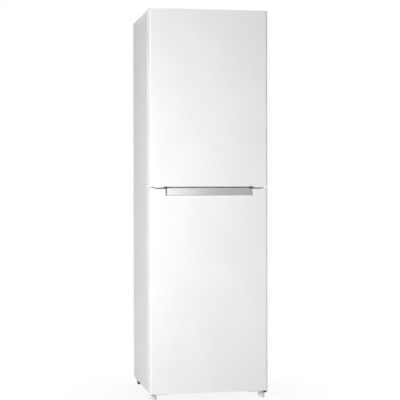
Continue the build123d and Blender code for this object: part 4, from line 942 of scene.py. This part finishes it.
@dataclass
class FridgeCompartment:
    """Liner, shelves, crisper, thermostat and lamp."""

    glasses: tuple[str, ...] = ("fridge_shelf_1", "fridge_shelf_2", "fridge_shelf_3", "crisper_cover")
    end_gap: float = 0.001
    trim_height: float = 0.013
    trim_depth: float = 0.011
    trim_overlap: float = 0.012
    trim_hollow: Pair = (0.0025, -0.0012)
    trim_taper: Triple = (1.0, 0.86, 1.0)
    trim_edge: float = 0.0012
    upstand: Triple = (0.0, 0.002, 0.012)
    upstand_base: Pair = (0.012, 0.009)
    upstand_back: float = 0.003
    upstand_step: float = 0.0012
    upstand_edge: float = 0.001
    dial_middle: Pair = (-0.050, -0.133)
    dial_ring: Pair = (0.066, 0.0007)
    dial_radius: float = 0.0258
    dial_sweep: float = 270.0
    dial_steps: int = 5
    figure_height: float = 0.0068
    ink: float = 0.0004
    tick: Pair = (0.0022, 0.0007)
    tick_inward: float = 0.0058
    pointer_size: Triple = (0.0014, 0.0100, 0.0007)
    pointer_radius: float = 0.0112
    pointer_edge: float = 0.0002
    switch_place: Pair = (0.062, 1.693)
    bezel: Pair = (0.017, 0.003)
    bezel_wall: float = 0.0026
    louvre: Triple = (0.0018, 0.0022, 0.018)
    louvre_edge: float = 0.0004
    louvre_row: Row = (-0.040, 0.0055, 14)
    lamp_rib: Pair = (0.0028, 0.0020)
    lamp_taper: Triple = (0.99, 0.25, 1.0)
    lamp_margin: float = 0.012
    lamp_first: float = 0.009
    lamp_row: Row = (0.0, 0.0052, 11)

    def build(self) -> None:
        """Dresses the compartment and adds trims, the dial, the switch's bezel and the lamp's ribs."""
        dress(LINER_WHITE, "fridge_liner")
        dress(SHELF_GLASS, *self.glasses)
        dress(CRISPER_CLEAR, "crisper_drawer")
        dress(CLEAR_MOULDING, "lamp_cover")
        dress(TRIM_WHITE, "thermostat_housing", "light_switch_plunger")
        dress(TRIM_GREY, "thermostat_knob")
        dress(BULB_GLASS, "lamp_bulb")
        for name in self.glasses:
            self.trims(name)
        self.dial()
        self.pointer()
        self.switch_bezel()
        self.louvres()
        self.lamp_ribs()

    def trims(self, glass: str) -> None:
        """White edging along a glass's front, hollow in its face, and an upstand along its back.

        Args:
            glass: The glass.
        """
        low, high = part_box(glass)
        x, z, width = (low.x + high.x) / 2, (low.z + high.z) / 2, high.x - low.x - 2 * self.end_gap
        y = low.y + (self.trim_overlap - self.trim_depth) / 2
        size = (width, self.trim_depth + self.trim_overlap, self.trim_height)
        trim = Form(f"{glass}_front_trim", Start.BLOCK, (x, y, z), size)
        trim.pick(faces_front).inset(*self.trim_hollow)
        trim.pick(lambda at, n: faces_up(at, n) and at.z > z).scale(self.trim_taper, (0, low.y, z))
        trim.soften(self.trim_edge, 3).settle("cabinet", TRIM_WHITE)
        rear = high.y - self.upstand_back
        trim = Form(f"{glass}_rear_trim", Start.BLOCK, (x, rear, z), (width, *self.upstand_base))
        trim.pick(faces_up).inset(self.upstand_step)
        trim.pick(lambda at, n: faces_up(at, n) and abs(at.y - rear) < CENTRAL).pull(self.upstand)
        trim.soften(self.upstand_edge).settle("cabinet", TRIM_WHITE)

    def dial(self) -> None:
        """Ring with numbers and ticks round the knob, on the underside of the housing."""
        middle = Vector((*self.dial_middle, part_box("thermostat_housing")[0].z))
        marks = []
        for number in range(self.dial_steps + 1):
            angle = math.radians(-90.0 + self.dial_sweep * number / self.dial_steps)
            way = Vector((math.cos(angle), math.sin(angle), 0.0))
            place = middle + way * self.dial_radius
            marks.append(self.figure(number, place))
            place = middle + way * (self.dial_radius - self.tick_inward)
            marks.append(Form("tick", Start.BLOCK, place, (*self.tick, self.ink), turn=(0, 0, angle)).object)
        ring = Form("thermostat_dial", Start.RING, middle, self.dial_ring, 64)
        ring.join(marks).settle("cabinet", DIAL_INK, "grey_plastic")

    def figure(self, number: int, place: Vector) -> bpy.types.Object:
        """A raised number that reads from below.

        Args:
            number: The number.
            place: Its middle.

        Returns:
            The number's object.
        """
        deselect_all()
        bpy.ops.object.text_add(location=place, rotation=OVERHEAD)
        text = bpy.context.active_object.data
        text.body, text.size, text.extrude = str(number), self.figure_height, self.ink / 2
        text.resolution_u, text.align_x, text.align_y = 3, "CENTER", "CENTER"
        bpy.ops.object.convert(target="MESH")
        return take("figure")

    def pointer(self) -> None:
        """Raised line on the knob that points at a number."""
        x, y = self.dial_middle
        middle = (x, y - self.pointer_radius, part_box("thermostat_knob")[0].z)
        line = Form("knob_pointer", Start.BLOCK, middle, self.pointer_size)
        line.soften(self.pointer_edge).settle("thermostat_knob", TRIM_WHITE)

    def switch_bezel(self) -> None:
        """Stepped ring round the light switch."""
        x, z = self.switch_place
        middle = (x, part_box("thermostat_housing")[0].y, z)
        ring = Form("light_switch_bezel", Start.ROUND, middle, self.bezel, turn=ALONG_Y)
        ring.pick(faces_front).inset(*RIM)
        ring.pick(lambda at, n: abs(n.y) > SQUARE and math.hypot(at.x - x, at.z - z) < CENTRAL)
        ring.pierce(self.bezel_wall).settle("cabinet", TRIM_GREY)

    def louvres(self) -> None:
        """Row of upright ribs on the front of the housing."""
        low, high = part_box("thermostat_housing")
        rib = Form("housing_louvres", Start.BLOCK, (0, low.y, (low.z + high.z) / 2), self.louvre)
        rib.pick(lambda at, d: abs(d.y) < SQUARE, edges=True).bevel(self.louvre_edge)
        rib.copies([(x, 0, 0) for x in row(*self.louvre_row)]).settle("cabinet", TRIM_WHITE)

    def lamp_ribs(self) -> None:
        """Prism ribs across the underside of the lamp cover."""
        low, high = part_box("lamp_cover")
        middle = (0, low.y + self.lamp_first, low.z)
        size = (high.x - low.x - self.lamp_margin, *self.lamp_rib)
        rib = Form("lamp_cover_ribs", Start.BLOCK, middle, size)
        rib.pick(faces_down).scale(self.lamp_taper, middle)
        rib.copies([(0, y, 0) for y in row(*self.lamp_row)]).settle("cabinet", CLEAR_MOULDING, smooth=20.0)


@dataclass
class FreezerCompartment:
    """Liner and drawers of the freezer."""

    drawers: int = 4
    hold_width: float = 0.150
    hold_height: float = 0.034
    hold_drop: float = 0.018
    frame_wall: float = 0.0022
    frame_rise: float = 0.006
    frame_sunk: float = 0.001
    frame_taper: Triple = (0.985, 1.0, 1.0)
    rib: Pair = (0.0016, 0.0022)
    rib_taper: Triple = (0.995, 1.0, 0.4)
    rib_counts: tuple[int, int] = (3, 5)
    rib_margin: float = 0.060
    rib_row: Pair = (0.024, 0.0075)
    low_drawer: float = 0.15

    def build(self) -> None:
        """Dresses the compartment, frames the drawers' hand holds and ribs their fronts."""
        dress(LINER_WHITE, "freezer_liner")
        for number in range(self.drawers):
            name = f"freezer_drawer_{number + 1}"
            dress(DRAWER_MILK, name)
            self.hold_frame(name)
            self.front_ribs(name)

    def hold_frame(self, drawer: str) -> None:
        """Raised frame round the hand hold, a little narrower at its top.

        Args:
            drawer: The drawer.
        """
        low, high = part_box(drawer)
        z = high.z - self.hold_drop - self.hold_height / 2
        walls = 2 * self.frame_wall
        size = (self.hold_width + walls, self.frame_rise, self.hold_height + walls)
        rim = Form(f"{drawer}_hold", Start.BLOCK, (0, low.y + self.frame_sunk, z), size)
        rim.pick(lambda at, n: abs(n.y) > SQUARE).pierce(self.frame_wall)
        rim.pick(lambda at, n: faces_up(at, n) and at.z > z + self.hold_height / 2)
        rim.scale(self.frame_taper, (0, low.y, z))
        rim.soften(EDGE).settle("cabinet", TRIM_WHITE)

    def front_ribs(self, drawer: str) -> None:
        """Fine level ribs low on the drawer's front.

        Args:
            drawer: The drawer.
        """
        low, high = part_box(drawer)
        middle = (0, low.y, low.z)
        rib = Form(f"{drawer}_ribs", Start.BLOCK, middle, (high.x - low.x - self.rib_margin, *self.rib))
        rib.pick(faces_front).scale(self.rib_taper, middle)
        count = self.rib_counts[high.z - low.z >= self.low_drawer]
        rib.copies([(0, 0, z) for z in row(*self.rib_row, count)]).settle("cabinet", DRAWER_MILK)


@dataclass
class Doors:
    """Both doors with their caps, liners, gaskets and shelves, and the grip plate."""

    shelves: tuple[str, ...] = ("door_shelf_1", "door_shelf_2", "door_shelf_3")
    rail_height: float = 0.010
    rail_wall: float = 0.0046
    rail_rise: float = 0.0012
    rail_overhang: float = 0.0004
    rail_ahead: float = 0.0010
    rail_short: float = 0.006
    rail_edge: float = 0.0011
    roll_radius: float = 0.0070
    lip_wall: float = 0.0002
    # Size and place of the dark blocks that paint the shade in the pocket's ends.
    pocket_block: Triple = (0.0145, 0.012, 0.0195)
    pocket_block_shift: Triple = (-0.0032, 0.019, 0.0110)
    blind_wall: float = 0.0018
    blind_back: float = 0.0376
    blind_gap: float = 0.0008
    blind_ends: float = 0.024
    blind_edge: float = 0.0004
    # Size and place of the dark stop that paints the shade under the lower door's hinge corner.
    stop: Triple = (0.0145, 0.034, 0.0036)
    stop_shift: Pair = (-0.0080, 0.0200)
    stop_z: float = 0.0334
    stop_round: float = 0.004

    def build(self) -> None:
        """Dresses the doors, and adds the shelves' rails and the small parts round the grip: a painted
        highlight and blocks of painted shade.
        """
        for door in ("fridge", "freezer"):
            dress(DOOR_WHITE, f"{door}_door_skin")
            dress(TRIM_WHITE, f"{door}_door_top_cap", f"{door}_door_bottom_cap")
            dress(LINER_WHITE, f"{door}_door_liner")
            dress(FOAM, f"{door}_door_foam")
            dress(GASKET_GREY, f"{door}_door_gasket")
        dress(CLEAR_MOULDING, *self.shelves)
        dress(GRIP_SILVER, "grip_plate")
        for name in self.shelves:
            self.rail(name)
        self.grip_lip()
        self.grip_stops()
        self.grip_blind()
        self.door_stop()

    def rail(self, shelf: str) -> None:
        """White rail that hugs the top edge of a door shelf on three sides.

        Args:
            shelf: The door shelf.
        """
        low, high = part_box(shelf)
        z, wall = high.z - self.rail_height / 2 + self.rail_rise, self.rail_wall
        size = (high.x - low.x + 2 * self.rail_overhang, wall, self.rail_height)
        front = Form(f"{shelf}_rail", Start.BLOCK, (0, high.y - wall / 2 + self.rail_ahead, z), size)
        length = high.y - low.y - self.rail_short
        x, y = high.x - wall / 2 + self.rail_overhang, high.y - wall - length / 2
        size = (wall, length, self.rail_height)
        front.join([Form("rail_side", Start.BLOCK, (s * x, y, z), size).object for s in SIDES])
        front.soften(self.rail_edge, 3).settle("fridge_door", TRIM_WHITE)

    def grip_lip(self) -> None:
        """Mirror-white strip over the rolled edge under the grip plate, a painted highlight that shows the
        white world as a bright line.
        """
        low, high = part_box("grip_plate")
        radius = self.roll_radius + self.lip_wall
        middle = (0, low.y + radius, low.z - self.roll_radius)
        strip = Form("grip_lip", Start.ROUND, middle, (2 * radius, high.x - low.x), 64, ALONG_X)
        for plane in ((0, 0, 1), (0, -1, 0)):
            strip.pick(lambda at, n: True)
            strip.edit(bpy.ops.mesh.bisect, plane_co=middle, plane_no=plane, clear_inner=True, use_fill=True)
        strip.settle("freezer_door", LIP_HIGHLIGHT, "grip_metal")

    def grip_stops(self) -> None:
        """Dark blocks in the ends of the upper door's finger pocket, painted shade where the pocket's ends
        lie in shadow.
        """
        low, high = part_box("grip_plate")
        corner = Vector((high.x, low.y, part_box("fridge_door_bottom_cap")[0].z))
        x, y, z = corner + Vector(self.pocket_block_shift)
        block = Form("grip_stops", Start.BLOCK, (0, y, z), self.pocket_block)
        block.pick(faces_down).inset(*RIM)
        block.soften(EDGE).copies([(s * x, 0, 0) for s in SIDES]).settle("fridge_door", TRIM_BLACK)

    def grip_blind(self) -> None:
        """Lip that hangs behind the upper door's finger pocket and hides the gap."""
        low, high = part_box("grip_plate")
        top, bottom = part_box("fridge_door_skin")[0].z + self.blind_gap, high.z + self.blind_gap
        size = (2 * high.x - self.blind_ends, self.blind_wall, top - bottom)
        blind = Form("grip_blind", Start.BLOCK, (0, low.y + self.blind_back, (top + bottom) / 2), size)
        blind.pick(faces_down).inset(self.blind_edge)
        blind.soften(self.blind_edge).settle("fridge_door", TRIM_WHITE)

    def door_stop(self) -> None:
        """Dark stop under the lower door's hinge corner, black to paint the shade that falls there."""
        low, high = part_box("freezer_door_skin")
        x, y = high.x + self.stop_shift[0], low.y + self.stop_shift[1]
        block = Form("lower_door_shade_stop", Start.BLOCK, (x, y, self.stop_z), self.stop)
        block.pick(lambda at, d: upright(at, d) and at.x > x, edges=True).bevel(self.stop_round, 4)
        block.soften(FINE_EDGE).settle("freezer_door", TRIM_BLACK)


@dataclass
class RunningGear:
    """Levelling feet and rear rollers."""

    foot_place: Pair = (0.252, -0.241)
    foot_size: Pair = (0.031, 0.018)
    sole: float = 0.0025
    sole_rim: float = 0.0010
    sole_ring: float = 0.003
    sole_hollow: Pair = (0.0005, -0.001)
    collar_step: float = 0.0025
    collar: Pair = (0.0035, 0.0015)
    collar_top: float = 0.0015
    flutes: int = 20
    flute: Pair = (0.0004, -0.0011)
    stem_size: Pair = (0.0079, 0.0110)
    stem_z: float = 0.0255
    stem_rings: int = 16
    thread_root: float = 0.86

    def build(self) -> None:
        """Dresses the rollers and replaces the plain feet."""
        dress(FOOT_WHITE, "foot_left", "foot_right")
        dress(TRIM_BLACK, "roller_left", "roller_right")
        for side, name in zip(SIDES, ("foot_left", "foot_right")):
            self.foot(side * self.foot_place[0], name)
            self.stem(side * self.foot_place[0], name)

    def foot(self, x: float, name: str) -> None:
        """Fluted foot under a collar.

        Args:
            x: The foot's axis.
            name: The node that it replaces, and the body that it rides on.
        """
        y, height = self.foot_place[1], self.foot_size[1]
        middle = (x, y, self.sole + height / 2)
        body = Form(f"{name}_body", Start.ROUND, middle, self.foot_size, 4 * self.flutes)
        step = math.tau / self.flutes

        def in_groove(at: Vector, normal: Vector) -> bool:
            """Whether a side face lies in one of the grooves."""
            return abs(normal.z) < LEVEL and math.atan2(at.y - y, at.x - x) % step < step / 2

        body.pick(in_groove).inset(*self.flute)
        body.pick(lambda at, n: faces_down(at, n) and at.z < middle[2]).inset(self.sole_rim)
        body.pull((0, 0, -self.sole)).inset(self.sole_ring).inset(*self.sole_hollow)
        body.pick(lambda at, n: faces_up(at, n) and at.z > height).inset(self.collar_step)
        body.inset(*self.collar).pull((0, 0, self.collar_top))
        body.settle(name, FOOT_WHITE, smooth=30.0)
        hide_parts(name)

    def stem(self, x: float, name: str) -> None:
        """Threaded stem of a foot.

        Args:
            x: The foot's axis.
            name: The body that it rides on.
        """
        middle = (x, self.foot_place[1], self.stem_z)
        stem = Form(f"{name}_stem", Start.ROUND, middle, self.stem_size, 24)
        stem.pick(upright, edges=True).subdivide(self.stem_rings - 1)
        height = self.stem_size[1]
        base, pitch = self.stem_z - height / 2, height / self.stem_rings

        def in_root(at: Vector, direction: Vector) -> bool:
            """Whether an edge lies in a root of the thread."""
            return abs(direction.z) < LEVEL and round((at.z - base) / pitch) % 2 == 1

        stem.pick(in_root, edges=True).scale((self.thread_root, self.thread_root, 1.0), middle)
        stem.settle(name, SCREW_STEEL, smooth=20.0)


@dataclass
class Studio:
    """Camera, soft lamps, world and floor."""

    camera_place: Triple = (-1.075, -5.783, 0.977)
    yaw: float = 10.64
    pitch: float = -0.70
    roll: float = -0.08
    lens: float = 111.26
    sensor: float = 36.0
    clip: Pair = (0.1, 100.0)
    floor_size: float = 60.0
    floor_z: float = -0.0005
    floor_grey: float = 0.90
    fade: Pair = (0.25, 0.75)
    fade_start: float = 0.86
    fade_grain: Pair = (0.4, 0.05)
    light_span: float = 0.9
    light_left: float = 0.25
    light_right: float = 0.12

    def build(self) -> None:
        """Sets the camera, world, floor and lamps."""
        self.camera()
        self.world()
        self.floor()
        self.lamp("key", (-1.5, -2.3, 1.0), (0.0, -0.28, 0.95), (0.9, 1.6), 52.0)
        self.lamp("front", (-0.08, -4.8, 1.0), (-0.08, -0.28, 1.0), (1.6, 1.7), 15.0, True)
        self.lamp("side", (-3.0, -0.6, 1.0), (-0.27, 0.0, 0.9), (1.5, 2.0), 6.0)
        self.lamp("top", (0.1, 1.1, 3.5), (0.0, 0.0, 1.75), (1.4, 1.2), 34.0)
        self.lamp("right", (2.1, 1.7, 1.1), (0.27, 0.1, 0.9), (1.2, 1.8), 38.0)
        self.lamp("rear", (0.9, 3.4, 1.6), (0.0, 0.27, 0.9), (1.6, 2.0), 22.0)
        bpy.context.scene.view_settings.view_transform = "Standard"

    def camera(self) -> None:
        """The photograph's camera."""
        data = bpy.data.cameras.new("camera")
        data.lens, data.sensor_width = self.lens, self.sensor
        data.clip_start, data.clip_end = self.clip
        eye = bpy.data.objects.new("camera", data)
        bpy.context.scene.collection.objects.link(eye)
        yaw, pitch, roll = (math.radians(angle) for angle in (self.yaw, self.pitch, self.roll))
        ahead = Vector((math.sin(yaw) * math.cos(pitch), math.cos(yaw) * math.cos(pitch), math.sin(pitch)))
        level = Vector((math.cos(yaw), -math.sin(yaw), 0.0))
        right = math.cos(roll) * level + math.sin(roll) * level.cross(ahead)
        turn = Matrix((right, right.cross(ahead), -ahead)).transposed()
        eye.matrix_world = Matrix.Translation(self.camera_place) @ turn.to_4x4()
        bpy.context.scene.camera = eye

    def lamp(
        self, name: str, place: Triple, aim: Triple, size: Pair, power: float, mirrored: bool = False
    ) -> None:
        """An area lamp.

        Args:
            name: Its name.
            place: Where it stands.
            aim: What it faces.
            size: Width and height.
            power: Watts.
            mirrored: Whether gloss shows the lamp itself.
        """
        data = bpy.data.lights.new(name, "AREA")
        data.shape, data.energy = "RECTANGLE", power
        data.size, data.size_y = size
        lamp = bpy.data.objects.new(name, data)
        bpy.context.scene.collection.objects.link(lamp)
        lamp.location = place
        lamp.visible_glossy = mirrored
        lamp.rotation_mode = "QUATERNION"
        lamp.rotation_quaternion = (Vector(aim) - Vector(place)).to_track_quat("-Z", "Y")

    def world(self) -> None:
        """White to the eye and in reflections, soft grey as light, and darker to the right."""
        world = bpy.data.worlds.new("studio")
        bpy.context.scene.world = world
        world.use_nodes = True
        shader = Shader(world.node_tree)
        way = shader.node("ShaderNodeTexCoord").outputs["Generated"]
        across = shader.value("ShaderNodeSeparateXYZ", "X", None, {"Vector": way})
        soft = across.eased(-self.light_span, self.light_span, self.light_left, self.light_right)
        strength = soft + shader.seen() * (1 - soft)
        light = shader.node("ShaderNodeBackground", None, {"Color": WHITE, "Strength": strength})
        shader.node("ShaderNodeOutputWorld", None, {"Surface": light.outputs[0]})

    def floor(self) -> None:
        """A pale floor that fades to the white background away from the object."""
        deselect_all()
        bpy.ops.mesh.primitive_plane_add(size=self.floor_size, location=(0, 0, self.floor_z))
        ground = take("floor")
        made = bpy.data.materials.new("floor_paper")
        made.use_nodes = True
        shader = Shader(made.node_tree)
        paper = shader.node("ShaderNodeBsdfDiffuse", None, {"Color": (*[self.floor_grey] * 3, 1.0)})
        white = shader.node("ShaderNodeEmission", None, {"Color": WHITE, "Strength": 1.0})
        x, y = shader.along("X"), shader.along("Y")
        size, reach = self.fade_grain
        grain = (shader.noise(size, 2.0) - 0.5) * reach
        fade = ((x * x + y * y) ** 0.5 + grain).eased(*self.fade, self.fade_start, 1.0)
        layers = {0: shader.seen() * fade, 1: paper.outputs[0], 2: white.outputs[0]}
        mix = shader.node("ShaderNodeMixShader", None, layers)
        shader.node("ShaderNodeOutputMaterial", None, {"Surface": mix.outputs[0]})
        ground.data.materials.append(made)


def main() -> None:
    """Builds the studio and dresses every sub-assembly in order."""
    logging.basicConfig(level=logging.INFO, format="%(name)s: %(message)s")
    for part in (Studio, Cabinet, MachineBay, FridgeCompartment, FreezerCompartment, Doors, RunningGear):
        log.info("building %s", part.__name__)
        part().build()


if __name__ == "__main__":
    main()
